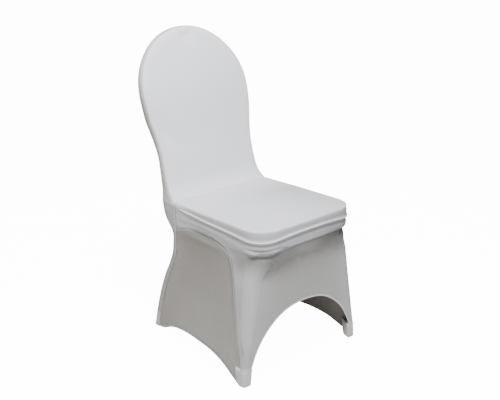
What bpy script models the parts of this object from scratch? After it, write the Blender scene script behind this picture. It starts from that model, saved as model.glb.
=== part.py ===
"""A fitted stretch cover for a round-topped chair: a hollow shell of sewn knit cloth.

The whole outer surface is first laid out as one skin of grids that share their edge points.
Each grid face carries the number of the cloth panel that it belongs to. Every panel is then
cut out of the skin, given its thickness along the skin's own normals and closed at its rims,
so neighbouring panels meet in a mitre with a hair of room at the stitch line.

Metres, +Z up, the front of the seat towards -Y, left and right alike about X = 0.
"""
import math
from collections import namedtuple

import bmesh
import bpy
from mathutils import Vector

# Driving dimensions
SEAT_TOP = 0.4565
BACK_TOP = 0.938
BACK_WIDEST_AT = 0.7526
VALLEY_DEPTH = 0.158
VALLEY_HALF = 0.190
VALLEY_INSET = 0.002
SEAT_HALF = 0.1945
SEAT_FRONT = -0.2215
SEAT_CORNER = 0.070
CORNER_REACH = 0.090
SEAT_FRONT_BOW = 0.0035
SEAT_BOW_FROM = 0.050
SEAT_BOW_OVER = 0.250
SEAT_TAPER_FROM = 0.020
SEAT_TAPER_OVER = 0.138
ARCH_END = -0.100
BAND_CORNER_SHARE = 0.55
POCKET_TOP = 0.050
FRONT_HEM = 0.1995
FRONT_HEM_HALF = 0.2125
REAR_HEM = 0.150
REAR_HEM_HALF = 0.176
SIDE_HEM = 0.049
SIDE_HEM_MIDDLE = 0.050
SIDE_HEM_HALF = 0.210
HEM_CLEARANCE = 0.010
HEM_ACROSS_POWER = 2.277
HEM_HEIGHT_POWER = 1.66
SEAT_CROWN = 0.006
SEAT_CROWN_AT = -0.020
SEAT_CROWN_HALF = 0.165
SEAT_CROWN_REACH = 0.175
BACK_CROWN = 0.004
BACK_CROWN_FROM = 0.500
BACK_CROWN_TALL = 0.410
BACK_CROWN_HALF = 0.170
SIDE_DISH = 0.012
SIDE_BULGE = 0.006
VALLEY_HEIGHT = 0.442
UPRIGHT_OVER = 0.060
LEVEL_OUT_BELOW = 0.530
RIM_CROWDING = 1.45
CLOTH = 0.0020
POCKET_CLOTH = 0.0024
STITCH_GAP = 0.0004
POCKET_GAP = 0.0012
POCKET_INNER_LEAN = 0.009
POCKET_TAPER = 0.0012
WELD = 0.00005

# The photo fit's zero depth lies this far in front of the middle of the cover's box
DEPTH_MIDDLE = 0.0644

# How finely each stretch is divided
SIDE_STEPS = 10
TURN_STEPS = 2
HALF_CORNER_STEPS = 3
FRONT_STEPS = 14
BACK_STEPS = 16
SKIRT_STEPS = 12
REAR_LEG_STEPS = SKIRT_STEPS
SIDE_ROWS = SKIRT_STEPS + 2
ACROSS = FRONT_STEPS + 2 * HALF_CORNER_STEPS
SHOULDER_STEPS = 3
CURVE_STEPS = 8
POCKET_CORNER_STEPS = 4

FRONT, BACK, LEFT, RIGHT = 1, 2, 3, 4

BackRow = namedtuple("BackRow", "height half seam rear")
BACK_ROWS = [
    BackRow(0.442, 0.1890, 0.158, 0.2290),
    BackRow(0.455, 0.1855, 0.176, 0.2310),
    BackRow(0.470, 0.1825, 0.192, 0.2330),
    BackRow(0.485, 0.1805, 0.202, 0.2360),
    BackRow(0.520, 0.1790, 0.214, 0.2415),
    BackRow(0.568, 0.1780, 0.226, 0.2500),
    BackRow(0.627, 0.1845, 0.240, 0.2680),
    BackRow(0.686, 0.1960, 0.254, 0.2855),
    BackRow(0.7526, 0.2007, 0.272, 0.3000),
    BackRow(0.850, 0.2007, 0.304, 0.3270),
    BackRow(0.938, 0.2007, 0.336, 0.3570),
]

LegRow = namedtuple("LegRow", "height front_half front front_corner rear_half rear seam")
LEG_ROWS = [
    LegRow(0.000, 0.2325, -0.1930, 0.010, 0.1820, 0.3060, 0.276),
    LegRow(0.050, 0.2300, -0.1930, 0.014, 0.1820, 0.2940, 0.268),
    LegRow(0.100, 0.2252, -0.1932, 0.020, 0.1820, 0.2790, 0.252),
    LegRow(0.150, 0.2202, -0.1935, 0.026, 0.1825, 0.2600, 0.233),
    LegRow(0.200, 0.2145, -0.1940, 0.031, 0.1830, 0.2370, 0.210),
    LegRow(0.250, 0.2088, -0.1945, 0.036, 0.1840, 0.2080, 0.183),
    LegRow(0.300, 0.2028, -0.1950, 0.040, 0.1850, 0.1870, 0.164),
    LegRow(0.350, 0.1965, -0.1960, 0.046, 0.1870, 0.1800, 0.159),
    LegRow(0.368, 0.1945, -0.1970, 0.048, 0.1885, 0.1870, 0.158),
    LegRow(0.388, 0.1918, -0.1985, 0.050, 0.1890, 0.2080, 0.158),
    LegRow(0.410, 0.1900, -0.2000, 0.050, 0.1890, 0.2220, 0.158),
    LegRow(0.442, 0.1900, -0.2000, 0.050, 0.1890, 0.2290, 0.158),
]

SeamPoint = namedtuple("SeamPoint", "depth height")
ARCH_TOP = [
    SeamPoint(0.158, 0.368),
    SeamPoint(0.127, 0.381),
    SeamPoint(0.080, 0.3915),
    SeamPoint(0.020, 0.3925),
    SeamPoint(-0.040, 0.3875),
    SeamPoint(-0.080, 0.3740),
    SeamPoint(-0.102, 0.3520),
]
ARCH_LEG = [
    SeamPoint(-0.102, 0.3520),
    SeamPoint(-0.112, 0.326),
    SeamPoint(-0.121, 0.290),
    SeamPoint(-0.133, 0.229),
    SeamPoint(-0.146, 0.171),
    SeamPoint(-0.160, 0.113),
    SeamPoint(-0.173, 0.050),
]

# Foot pockets: where each ends at its top and on the floor
FootRow = namedtuple("FootRow", "height front rear inner outer")
FRONT_FOOT = [
    FootRow(0.0000, -0.1930, -0.1670, 0.2035, 0.2325),
    FootRow(0.0100, -0.1930, -0.1600, 0.2020, 0.2325),
    FootRow(POCKET_TOP, -0.1930, -0.1540, 0.1970, 0.2314),
]
REAR_FOOT = [
    FootRow(0.0000, 0.2800, 0.3055, 0.1590, 0.1820),
    FootRow(0.0100, 0.2760, 0.3030, 0.1598, 0.1825),
    FootRow(POCKET_TOP, 0.2680, 0.2940, 0.1630, 0.1830),
]

# Radii of a pocket's corners at its top and on the floor: outer front, inner front, inner rear,
# outer rear
CornerRadii = namedtuple("CornerRadii", "top floor")
FRONT_RADII = CornerRadii((0.014, 0.004, 0.006, 0.003), (0.011, 0.005, 0.006, 0.004))
REAR_RADII = CornerRadii((0.003, 0.006, 0.004, 0.012), (0.004, 0.006, 0.006, 0.008))
POCKET_FLOOR_BEND = 0.0015

# Round the seat, from the flat top outwards and down to the foot of the rail band
EdgeRow = namedtuple("EdgeRow", "inset height side_inset side_height corner_drop")
EDGE_ROWS = [
    EdgeRow(0.032, SEAT_TOP, 0.030, SEAT_TOP, 0.0),
    EdgeRow(0.016, 0.4562, 0.016, 0.4557, 0.0),
    EdgeRow(0.0065, 0.4532, 0.007, 0.4522, 0.0),
    EdgeRow(0.0025, 0.4430, 0.003, 0.4440, 0.0025),
    EdgeRow(0.000, 0.4300, 0.0010, 0.4385, 0.0085),
    EdgeRow(0.006, 0.4250, 0.0045, 0.4300, 0.0085),
    EdgeRow(0.004, 0.4130, 0.0020, 0.4150, 0.0050),
    EdgeRow(0.006, 0.4000, 0.0025, 0.3980, 0.0),
    EdgeRow(0.024, 0.3900, 0.0030, 0.3680, 0.0),
]
SEAM_ROW = 3
RIDGE_FOOT_ROW = 5

# Round the rim of the back, from the flat face outwards to the stitched edge
RimRow = namedtuple("RimRow", "inset drop")
RIM_ROWS = [
    RimRow(0.028, 0.0000),
    RimRow(0.016, 0.0008),
    RimRow(0.006, 0.0032),
    RimRow(0.000, 0.0085),
]

# From the stitched edge over the narrow side wall to the flat rear face
WallRow = namedtuple("WallRow", "share inset")
WALL_ROWS = [
    WallRow(0.00, 0.000),
    WallRow(0.33, -0.0005),
    WallRow(0.66, 0.000),
    WallRow(0.88, 0.003),
    WallRow(0.98, 0.008),
    WallRow(1.00, 0.018),
]


def smooth_read(rows, key, column, at):
    """Read a column of a table at any value of its key, on a smooth curve without overshoot."""
    keys = [getattr(row, key) for row in rows]
    values = [getattr(row, column) for row in rows]
    if at <= keys[0]:
        return values[0]
    if at >= keys[-1]:
        return values[-1]
    slopes = [(values[i + 1] - values[i]) / (keys[i + 1] - keys[i]) for i in range(len(keys) - 1)]
    tangents = [slopes[0]]
    for before, after in zip(slopes, slopes[1:]):
        tangents.append(0.0 if before * after <= 0 else 2 * before * after / (before + after))
    tangents.append(slopes[-1])
    i = max(n for n, value in enumerate(keys) if value <= at)
    span = keys[i + 1] - keys[i]
    t = (at - keys[i]) / span
    return ((1 + 2 * t) * (1 - t) ** 2 * values[i] + t * (1 - t) ** 2 * span * tangents[i]
            + t * t * (3 - 2 * t) * values[i + 1] + t * t * (t - 1) * span * tangents[i + 1])


def back_read(column, height):
    return smooth_read(BACK_ROWS, "height", column, height)


def leg_read(column, height):
    return smooth_read(LEG_ROWS, "height", column, height)


def mix(a, b, t):
    return a + (b - a) * t


def ease(t):
    t = min(max(t, 0.0), 1.0)
    return t * t * (3 - 2 * t)


def along(points, share):
    """The point at a share of the length of a smooth curve through the given points."""
    fine = []
    count = len(points)
    for i in range(count - 1):
        before = points[max(i - 1, 0)]
        after = points[min(i + 2, count - 1)]
        for n in range(CURVE_STEPS):
            fine.append(catmull(before, points[i], points[i + 1], after, n / CURVE_STEPS))
    fine.append(points[-1])
    lengths = [0.0]
    for a, b in zip(fine, fine[1:]):
        lengths.append(lengths[-1] + (b - a).length)
    target = share * lengths[-1]
    for i in range(len(fine) - 1):
        if lengths[i + 1] >= target - 1e-12:
            t = (target - lengths[i]) / (lengths[i + 1] - lengths[i])
            return fine[i].lerp(fine[i + 1], t)
    return fine[-1]


def catmull(a, b, c, d, t):
    return 0.5 * (2 * b + (c - a) * t + (2 * a - 5 * b + 4 * c - d) * t * t
                  + (3 * b - a - 3 * c + d) * t ** 3)


def mirrored(point, side):
    return Vector((point.x * -side, point.y, point.z))


# Outline of the back

def rim_station(step):
    """Outline point (x, height) and its outward direction at a step up the left edge.

    Steps 0 to BACK_STEPS climb the side, and ACROSS more steps go over the round top. The first
    stations lie closer together, because the cloth bends from the seat to the back there.
    """
    top_radius = BACK_TOP - BACK_WIDEST_AT
    straight_steps = BACK_STEPS - SHOULDER_STEPS
    if step <= straight_steps:
        height = mix(VALLEY_HEIGHT, BACK_WIDEST_AT, (step / straight_steps) ** RIM_CROWDING)
        slope = slope_of("half", height)
        out = Vector((-1.0, -slope if height > LEVEL_OUT_BELOW else 0.0)).normalized()
        return Vector((-back_read("half", height), height)), out
    if step <= BACK_STEPS:
        angle = math.radians(45) * (step - straight_steps) / SHOULDER_STEPS
    else:
        angle = math.radians(45 + 90 * (step - BACK_STEPS) / ACROSS)
    half = back_read("half", BACK_WIDEST_AT)
    place = Vector((-half * math.cos(angle), BACK_WIDEST_AT + top_radius * math.sin(angle)))
    out = Vector((-top_radius * math.cos(angle), half * math.sin(angle))).normalized()
    return place, out


def inward_lean(height):
    """Direction from the cloth into the padding: down on the seat, rearwards on the back."""
    tilt = math.radians(90) * ease((height - VALLEY_HEIGHT) / UPRIGHT_OVER)
    return Vector((0.0, math.sin(tilt), -math.cos(tilt)))


def rim_point(step, row):
    """A point on the cloth round the rim of the back, at a step along it and a row across."""
    place, out = rim_station(step)
    rim = RIM_ROWS[row]
    seam = Vector((place.x, back_read("seam", place.y), place.y))
    lean = inward_lean(place.y)
    drop = RIM_ROWS[-1].drop
    face = seam - lean * (drop - rim.drop)
    inset = rim.inset
    rearwards = slope_of("seam", face.z) * -out.y * inset * lean.y
    return Vector((face.x - out.x * inset, face.y + rearwards, face.z - out.y * inset))


def slope_of(column, height):
    """How fast a column of the back's table changes with height."""
    reach = 0.003
    rise = back_read(column, height + reach) - back_read(column, height - reach)
    return rise / (2 * reach)


# Round the seat

def seat_column(column, inset):
    """Plan position of a column round the seat's U, from the left valley to the right one."""
    half_count = SIDE_STEPS + TURN_STEPS + 2 * HALF_CORNER_STEPS + FRONT_STEPS // 2
    side = 1 if column <= half_count else -1
    n = column if side == 1 else 2 * half_count - column
    radius = max(SEAT_CORNER - inset, 0.004)
    half = SEAT_HALF - inset
    front = SEAT_FRONT + inset
    corner_start = front + radius
    if n <= SIDE_STEPS:
        y = mix(VALLEY_DEPTH, ARCH_END, n / SIDE_STEPS)
        x = -half
    elif n <= SIDE_STEPS + TURN_STEPS:
        y = mix(ARCH_END, corner_start, (n - SIDE_STEPS) / TURN_STEPS)
        x = -half
    elif n <= SIDE_STEPS + TURN_STEPS + 2 * HALF_CORNER_STEPS:
        angle = math.radians(90) * (n - SIDE_STEPS - TURN_STEPS) / (2 * HALF_CORNER_STEPS)
        x = -(half - radius) - radius * math.cos(angle)
        y = corner_start - radius * math.sin(angle)
    else:
        first = SIDE_STEPS + TURN_STEPS + 2 * HALF_CORNER_STEPS
        t = (n - first) / (FRONT_STEPS / 2)
        x = mix(-(half - radius), 0.0, t)
        y = front
    bow = SEAT_FRONT_BOW * (1 - (x / SEAT_HALF) ** 2) * ease((SEAT_BOW_FROM - y) / SEAT_BOW_OVER)
    taper = (VALLEY_HALF - SEAT_HALF) * ease((y - SEAT_TAPER_FROM) / SEAT_TAPER_OVER)
    x -= taper if x < 0 else 0.0
    return Vector((x * side, y - bow))


def seat_point(column, row):
    """A point on the cloth round the seat, at a column round the U and a row down its edge."""
    edge = EDGE_ROWS[row]
    last_row = len(EDGE_ROWS) - 1
    steps = SIDE_STEPS + TURN_STEPS + HALF_CORNER_STEPS
    total = 2 * (steps + HALF_CORNER_STEPS) + FRONT_STEPS
    n = min(column, total - column)
    if row == last_row and n <= SIDE_STEPS:
        point = arch_point(n / SIDE_STEPS, 0)
        return point if column == n else mirrored(point, 1)
    forward = ease((n - SIDE_STEPS) / (TURN_STEPS + HALF_CORNER_STEPS))
    wedge = ease(n / SIDE_STEPS)
    inset = mix(edge.side_inset, edge.inset, forward)
    if row >= SEAM_ROW:
        inset = mix(VALLEY_INSET, inset, ease(n / 3))
    if row <= RIDGE_FOOT_ROW:
        height = mix(edge.side_height, edge.height, wedge)
    else:
        ridge_foot = EDGE_ROWS[RIDGE_FOOT_ROW]
        start = ridge_foot.side_height if n == 0 else ridge_foot.height
        share = (row - RIDGE_FOOT_ROW) / (last_row - RIDGE_FOOT_ROW)
        arch = along(arch_points(ARCH_TOP), min(n / SIDE_STEPS, 1.0)).z
        height = mix(mix(start, arch, share), edge.height, forward)
    if row == last_row:
        middle = ease((n - SIDE_STEPS - TURN_STEPS - 2 * HALF_CORNER_STEPS) / HALF_CORNER_STEPS)
        inset *= mix(BAND_CORNER_SHARE, 1.0, middle)
    plan = seat_column(column, inset)
    corner = Vector((abs(plan.x) - SEAT_HALF, plan.y - SEAT_FRONT))
    height -= edge.corner_drop * math.exp(-(corner.length / CORNER_REACH) ** 2)
    if n == 0 and row >= SEAM_ROW:
        plan.y = VALLEY_DEPTH
    return Vector((plan.x, plan.y, height))


def arch_points(rows):
    return [Vector((0.0, row.depth, row.height)) for row in rows]


def arch_point(share, leg):
    """A point of the left arch seam: along its top, or down the front leg."""
    flat = along(arch_points(ARCH_LEG if leg else ARCH_TOP), share)
    return Vector((-side_half(flat.y, flat.z), flat.y, flat.z))


# Skirt

def side_half(depth, height):
    """Half width of the side cloth, which is stretched between the front and rear legs."""
    front = leg_read("front", height) + leg_read("front_corner", height)
    rear = leg_read("seam", height)
    t = (depth - front) / (rear - front)
    half = mix(leg_read("front_half", height), leg_read("rear_half", height), t)
    low = ease((0.20 - height) / 0.20)
    return half + SIDE_BULGE * low * math.sin(math.pi * min(max(t, 0.0), 1.0))


def side_dish(depth, height):
    """How far the side panel draws in between its seams."""
    front = leg_read("front", height) + leg_read("front_corner", height)
    rear = leg_read("seam", height)
    t = min(max((depth - front) / (rear - front), 0.0), 1.0)
    down = min(max(height / ARCH_TOP[0].height, 0.0), 1.0)
    return SIDE_DISH * math.sin(math.pi * t) * math.sin(math.pi * down) ** 0.7


def skirt_corner(n, height, seam_depth):
    """The front skirt's columns at one height, from the arch seam round to the middle."""
    half = leg_read("front_half", height)
    front = leg_read("front", height)
    radius = leg_read("front_corner", height)
    start = front + radius
    if n <= TURN_STEPS:
        y = mix(seam_depth, start, n / TURN_STEPS)
        return Vector((-side_half(y, height), y, height))
    angle = math.radians(90) * (n - TURN_STEPS) / (2 * HALF_CORNER_STEPS)
    return Vector((-(half - radius) - radius * math.cos(angle),
                   start - radius * math.sin(angle), height))


def front_hem_half(height):
    """Half width of the front arch at a height."""
    share = 1 - (height / FRONT_HEM) ** HEM_HEIGHT_POWER
    return FRONT_HEM_HALF * share ** (1 / HEM_ACROSS_POWER)


def hem_height(across, top, half):
    """Height of an arched hem at a distance from its middle."""
    return top * (1 - abs(across / half) ** HEM_ACROSS_POWER) ** (1 / HEM_HEIGHT_POWER)


def skirt_point(column, step):
    """A point of the front skirt: columns from the left arch seam to the right, rows downwards."""
    last = 2 * (TURN_STEPS + 2 * HALF_CORNER_STEPS) + FRONT_STEPS
    side = 1 if column <= last // 2 else -1
    n = min(column, last - column)
    share = step / SKIRT_STEPS
    top = seat_point(SIDE_STEPS + n, len(EDGE_ROWS) - 1)
    corner_end = TURN_STEPS + 2 * HALF_CORNER_STEPS
    blend = ease(share / 0.25)
    if n == 0:
        point = arch_point(share, 1)
    elif n <= corner_end:
        height = mix(top.z, POCKET_TOP, share)
        leg = skirt_corner(n, height, along(arch_points(ARCH_LEG), share).y)
        point = Vector((mix(top.x, leg.x, blend), mix(top.y, leg.y, blend), height))
    else:
        t = (n - corner_end) / (FRONT_STEPS / 2)
        foot_start = leg_read("front_half", POCKET_TOP) - leg_read("front_corner", POCKET_TOP)
        across = foot_start * math.cos(math.radians(90) * t) ** 0.9 if t < 1 else 0.0
        across = min(across, front_hem_half(POCKET_TOP))
        height = mix(top.z, max(hem_height(across, FRONT_HEM, FRONT_HEM_HALF), POCKET_TOP), share)
        y = mix(top.y, leg_read("front", height), blend)
        point = Vector((mix(top.x, -across, share), y, height))
    return point if side == 1 else mirrored(point, 1)


def side_hem_height(depth):
    reach = min(abs(depth - SIDE_HEM_MIDDLE) / SIDE_HEM_HALF, 1.0)
    return SIDE_HEM * (1 - reach ** 3)


def side_panel_edge(step, seam_at, edge_at, low):
    """A point down the front or rear edge of the side panel: its seam, then the pocket's edge."""
    if step <= SKIRT_STEPS:
        flat = seam_at(step / SKIRT_STEPS)
        return Vector((0.0, flat.y, flat.z))
    height = POCKET_TOP if step == SKIRT_STEPS + 1 else HEM_CLEARANCE
    if low and step == SKIRT_STEPS + 1:
        height = (POCKET_TOP + HEM_CLEARANCE) / 2
    return Vector((0.0, edge_at(height), height))


def side_front_edge(step):
    return side_panel_edge(step, lambda share: along(arch_points(ARCH_LEG), share),
                           lambda height: front_pocket_edge(height) + POCKET_GAP, False)


def side_rear_edge(step):
    return side_panel_edge(step, rear_seam_flat,
                           lambda height: rear_pocket_edge(height) - POCKET_GAP, True)


def side_hem_point(column):
    """The lower edge of the left side panel, from the front pocket to the rear one."""
    first = side_front_edge(SIDE_ROWS)
    last = side_rear_edge(SIDE_ROWS)
    depth = mix(first.y, last.y, column / SIDE_STEPS)
    return Vector((0.0, depth, max(side_hem_height(depth), HEM_CLEARANCE)))


def front_pocket_edge(height):
    """Where the front foot pocket ends towards the rear, on the side."""
    return smooth_read(FRONT_FOOT, "height", "rear", height)


def rear_pocket_edge(height):
    """Where the rear foot pocket ends towards the front, on the side."""
    return smooth_read(REAR_FOOT, "height", "front", height)


def side_point(column, step):
    """A point of the left side panel, filled in between its four edges."""
    flat = fill(SIDE_STEPS, SIDE_ROWS, column, step, side_front_edge, side_rear_edge,
                lambda c: along(arch_points(ARCH_TOP), 1 - c / SIDE_STEPS), side_hem_point)
    half = side_half(flat.y, flat.z)
    if 0 < column < SIDE_STEPS and step > 0:
        half -= side_dish(flat.y, flat.z)
    return Vector((-half, flat.y, flat.z))


def rear_seam_flat(share):
    height = mix(ARCH_TOP[0].height, POCKET_TOP, share)
    return Vector((0.0, leg_read("seam", height), height))


# Back panel

def wall_stations():
    """Steps up the left edge of the back panel: leg, valley, side of the back, half the top."""
    return REAR_LEG_STEPS + (len(EDGE_ROWS) - 1 - SEAM_ROW) + BACK_STEPS


def rear_read(height):
    if height <= VALLEY_HEIGHT:
        return leg_read("rear", height)
    return back_read("rear", height)


def wall_seam(step):
    """The back panel's stitched edge, its outline point and the outline's direction there."""
    valley_steps = len(EDGE_ROWS) - 1 - SEAM_ROW
    if step <= REAR_LEG_STEPS:
        share = 1 - step / REAR_LEG_STEPS
        flat = rear_seam_flat(share)
        half = leg_read("rear_half", flat.z)
        seam = Vector((-side_half(flat.y, flat.z), flat.y, flat.z))
        return seam, Vector((-half, flat.z)), Vector((-1.0, 0.0))
    if step <= REAR_LEG_STEPS + valley_steps:
        row = len(EDGE_ROWS) - 1 - (step - REAR_LEG_STEPS)
        seam = seat_point(0, row)
        return seam, Vector((seam.x, seam.z)), Vector((-1.0, 0.0))
    rim_step = step - REAR_LEG_STEPS - valley_steps
    place, out = rim_station(rim_step)
    return rim_point(rim_step, len(RIM_ROWS) - 1), place, out


def wall_point(step, row):
    """A point on the narrow wall between the stitched edge and the rear face."""
    seam, place, out = wall_seam(step)
    wall = WALL_ROWS[row]
    if row == 0:
        return seam
    x = place.x - out.x * wall.inset
    z = place.y - out.y * wall.inset
    across = mix(seam.x, x, min(wall.share * 3, 1.0))
    return Vector((across, mix(seam.y, rear_read(z), wall.share), z))


def fill(columns, rows, column, row, left, right, top, bottom, shares=None):
    """Fill a four-sided field from its edges; each edge is a function of the step along it.

    The shares say how far the shapes of the top and bottom edges are felt in this row.
    """
    u = column / columns
    v = row / rows
    top_share, bottom_share = shares if shares else (1 - v, v)
    top_shape = top(column) - top(0).lerp(top(columns), u)
    bottom_shape = bottom(column) - bottom(0).lerp(bottom(columns), u)
    return left(row).lerp(right(row), u) + top_shape * top_share + bottom_shape * bottom_share


def rear_face_point(column, row):
    """The flat rear face between the two walls, from the top row down to the hem."""
    rows = wall_stations()
    inner = len(WALL_ROWS) - 1
    low = -wall_point(0, inner).x

    def left(step):
        return wall_point(rows - step, inner)

    def right(step):
        return mirrored(left(step), 1)

    def top(step):
        return wall_point(rows + step, inner)

    def bottom(step):
        across = -low * math.cos(math.pi * step / ACROSS)
        height = max(hem_height(across, REAR_HEM, REAR_HEM_HALF), POCKET_TOP)
        return Vector((across, rear_read(height), height))

    point = fill(ACROSS, rows, column, row, left, right, top, bottom)
    point.y = rear_read(point.z)
    return point


# Front panel

def face_field_point(column, row):
    """The inside of the back and the seat top, from the top row down and forwards."""
    seat_rows = SIDE_STEPS + TURN_STEPS + HALF_CORNER_STEPS
    rows = BACK_STEPS + seat_rows
    upper_rows = BACK_STEPS - 6

    def left(step):
        if step < BACK_STEPS:
            return rim_point(BACK_STEPS - step, 0)
        return seat_point(step - BACK_STEPS, 0)

    def right(step):
        return mirrored(left(step), 1)

    def top(step):
        return rim_point(BACK_STEPS + step, 0)

    def bottom(step):
        return seat_point(seat_rows + step, 0)

    top_share = max(1 - row / upper_rows, 0.0) ** 1.5
    bottom_share = max((row - BACK_STEPS) / seat_rows, 0.0)
    point = fill(ACROSS, rows, column, row, left, right, top, bottom, (top_share, bottom_share))
    if column in (0, ACROSS) or row in (0, rows):
        return point
    if row < upper_rows:
        point.y = back_read("seam", point.z) - RIM_ROWS[-1].drop
    point.z += seat_crown(point)
    point.y -= back_crown(point)
    return point


def seat_crown(point):
    """How far the cushion stands up over its edges."""
    if point.y > VALLEY_DEPTH:
        return 0.0
    across = 1 - min(abs(point.x) / SEAT_CROWN_HALF, 1.0) ** 2
    forward = 1 - min(abs(point.y - SEAT_CROWN_AT) / SEAT_CROWN_REACH, 1.0) ** 2
    return SEAT_CROWN * across * forward


def back_crown(point):
    """How far the padding of the back stands out forwards."""
    across = 1 - min(abs(point.x) / BACK_CROWN_HALF, 1.0) ** 2
    share = (point.z - BACK_CROWN_FROM) / BACK_CROWN_TALL
    up = math.sin(math.pi * min(max(share, 0.0), 1.0))
    return BACK_CROWN * across * up


# Skin

def add_grid(skin, columns, rows, place, panel, mark):
    """Lay one grid of cloth into the skin, with each of its points put in place."""
    grid = bmesh.ops.create_grid(skin, x_segments=columns, y_segments=rows, size=1.0)
    faces = set()
    for index, vert in enumerate(grid["verts"]):
        vert.co = place(index % (columns + 1), index // (columns + 1))
        faces.update(vert.link_faces)
    for face in faces:
        face[mark] = panel


def lay_out_skin():
    """The whole outer surface as one welded skin, its faces marked with their panels."""
    skin = bmesh.new()
    mark = skin.faces.layers.int.new("panel")
    seat_rows = SIDE_STEPS + TURN_STEPS + HALF_CORNER_STEPS
    seat_columns = 2 * (seat_rows + HALF_CORNER_STEPS) + FRONT_STEPS
    rim_columns = 2 * BACK_STEPS + ACROSS
    skirt_columns = 2 * (TURN_STEPS + 2 * HALF_CORNER_STEPS) + FRONT_STEPS
    stations = wall_stations()
    add_grid(skin, ACROSS, BACK_STEPS + seat_rows, face_field_point, FRONT, mark)
    add_grid(skin, rim_columns, len(RIM_ROWS) - 1, whole_rim_point, FRONT, mark)
    add_grid(skin, seat_columns, len(EDGE_ROWS) - 1, seat_point, FRONT, mark)
    add_grid(skin, skirt_columns, SKIRT_STEPS, skirt_point, FRONT, mark)
    add_grid(skin, 2 * stations + ACROSS, len(WALL_ROWS) - 1, whole_wall_point, BACK, mark)
    add_grid(skin, ACROSS, stations, rear_face_point, BACK, mark)
    add_grid(skin, SIDE_STEPS, SIDE_ROWS, side_point, LEFT, mark)
    add_grid(skin, SIDE_STEPS, SIDE_ROWS, lambda c, r: mirrored(side_point(c, r), 1), RIGHT, mark)
    bmesh.ops.remove_doubles(skin, verts=skin.verts[:], dist=WELD)
    bmesh.ops.recalc_face_normals(skin, faces=skin.faces[:])
    skin.normal_update()
    return skin, mark


def whole_rim_point(column, row):
    """Round the rim of the back, from the left valley over the top to the right one."""
    last = 2 * BACK_STEPS + ACROSS
    if column == 0 or column == last:
        point = seat_point(0, row)
        return point if column == 0 else mirrored(point, 1)
    if column > last // 2:
        return mirrored(whole_rim_point(last - column, row), 1)
    return rim_point(column, row)


def whole_wall_point(column, row):
    last = 2 * wall_stations() + ACROSS
    if column > last // 2:
        return mirrored(whole_wall_point(last - column, row), 1)
    return wall_point(column, row)


def cloth_material(name, colour, roughness):
    material = bpy.data.materials.new(name)
    material.use_nodes = True
    shader = material.node_tree.nodes["Principled BSDF"]
    shader.inputs["Base Color"].default_value = (*colour, 1.0)
    shader.inputs["Roughness"].default_value = roughness
    shader.inputs["Metallic"].default_value = 0.0
    return material


def finish_piece(name, shape, colour, roughness):
    """Turn a bmesh into a named object in its own material."""
    mesh = bpy.data.meshes.new(name)
    for vert in shape.verts:
        vert.co.y -= DEPTH_MIDDLE
    bmesh.ops.triangulate(shape, faces=shape.faces[:])
    shape.to_mesh(mesh)
    shape.free()
    mesh.shade_smooth()
    mesh.set_sharp_from_angle(angle=math.radians(50))
    mesh.materials.append(cloth_material(name + "_knit", colour, roughness))
    piece = bpy.data.objects.new(name, mesh)
    bpy.context.scene.collection.objects.link(piece)
    return piece


def seam_pull(vert, mark, panel):
    """Direction along the cloth from a stitch line into a panel, nothing away from stitches."""
    if all(face[mark] == panel for face in vert.link_faces):
        return Vector((0.0, 0.0, 0.0))
    own = [face for face in vert.link_faces if face[mark] == panel]
    middle = sum((face.calc_center_median() for face in own), Vector()) / len(own)
    pull = middle - vert.co
    pull -= vert.normal * pull.dot(vert.normal)
    return pull.normalized() * STITCH_GAP / 2


def cut_panel(skin, mark, panel, name, colour):
    """Cut one panel out of the skin and give it its thickness."""
    shape = bmesh.new()
    outer = {}
    inner = {}
    for vert in skin.verts:
        if any(face[mark] == panel for face in vert.link_faces):
            pull = seam_pull(vert, mark, panel)
            depth = vert.normal * CLOTH
            if abs(vert.co.z - POCKET_TOP) < WELD:
                depth.z = 0.0
            if panel in (LEFT, RIGHT) and vert.is_boundary:
                depth.y = 0.0
            outer[vert] = shape.verts.new(vert.co + pull)
            inner[vert] = shape.verts.new(vert.co + pull - depth)
    for face in skin.faces:
        if face[mark] == panel:
            shape.faces.new([outer[vert] for vert in face.verts])
            shape.faces.new([inner[vert] for vert in reversed(face.verts)])
    for edge in skin.edges:
        own = [loop for loop in edge.link_loops if loop.face[mark] == panel]
        if len(own) == 1:
            first = own[0].vert
            second = edge.other_vert(first)
            shape.faces.new([outer[second], outer[first], inner[first], inner[second]])
    return finish_piece(name, shape, colour, 0.75)


# Foot pockets

def rounded_ring(corners, radii, height):
    """Points of a rounded four-cornered ring, running round anticlockwise from above."""
    ring = []
    count = len(corners)
    for i, corner in enumerate(corners):
        before = (corners[i - 1] - corner).normalized()
        after = (corners[(i + 1) % count] - corner).normalized()
        reach = radii[i] / math.tan(before.angle(after) / 2)
        start = corner + before * reach
        end = corner + after * reach
        for n in range(POCKET_CORNER_STEPS + 1):
            t = n / POCKET_CORNER_STEPS
            middle = start.lerp(corner, t).lerp(corner.lerp(end, t), t)
            ring.append(Vector((middle.x, middle.y, height)))
    return ring


def inset_ring(ring, distance):
    """The same ring moved inwards by a distance."""
    count = len(ring)
    moved = []
    for i, point in enumerate(ring):
        run = ring[(i + 1) % count] - ring[i - 1]
        inward = Vector((-run.y, run.x, 0.0)).normalized()
        moved.append(point + inward * distance)
    return moved


def wrap_rings(shape, rings):
    """Lay one closed sleeve through rings of equal count and close both of its ends."""
    count = len(rings[0])
    grid = bmesh.ops.create_grid(shape, x_segments=count, y_segments=len(rings) - 1, size=1.0)
    for index, vert in enumerate(grid["verts"]):
        vert.co = rings[index // (count + 1)][index % (count + 1) % count]
    bmesh.ops.remove_doubles(shape, verts=shape.verts[:], dist=WELD)
    ends = [edge for edge in shape.edges if edge.is_boundary]
    bmesh.ops.holes_fill(shape, edges=ends, sides=0)
    bmesh.ops.recalc_face_normals(shape, faces=shape.faces[:])


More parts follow.
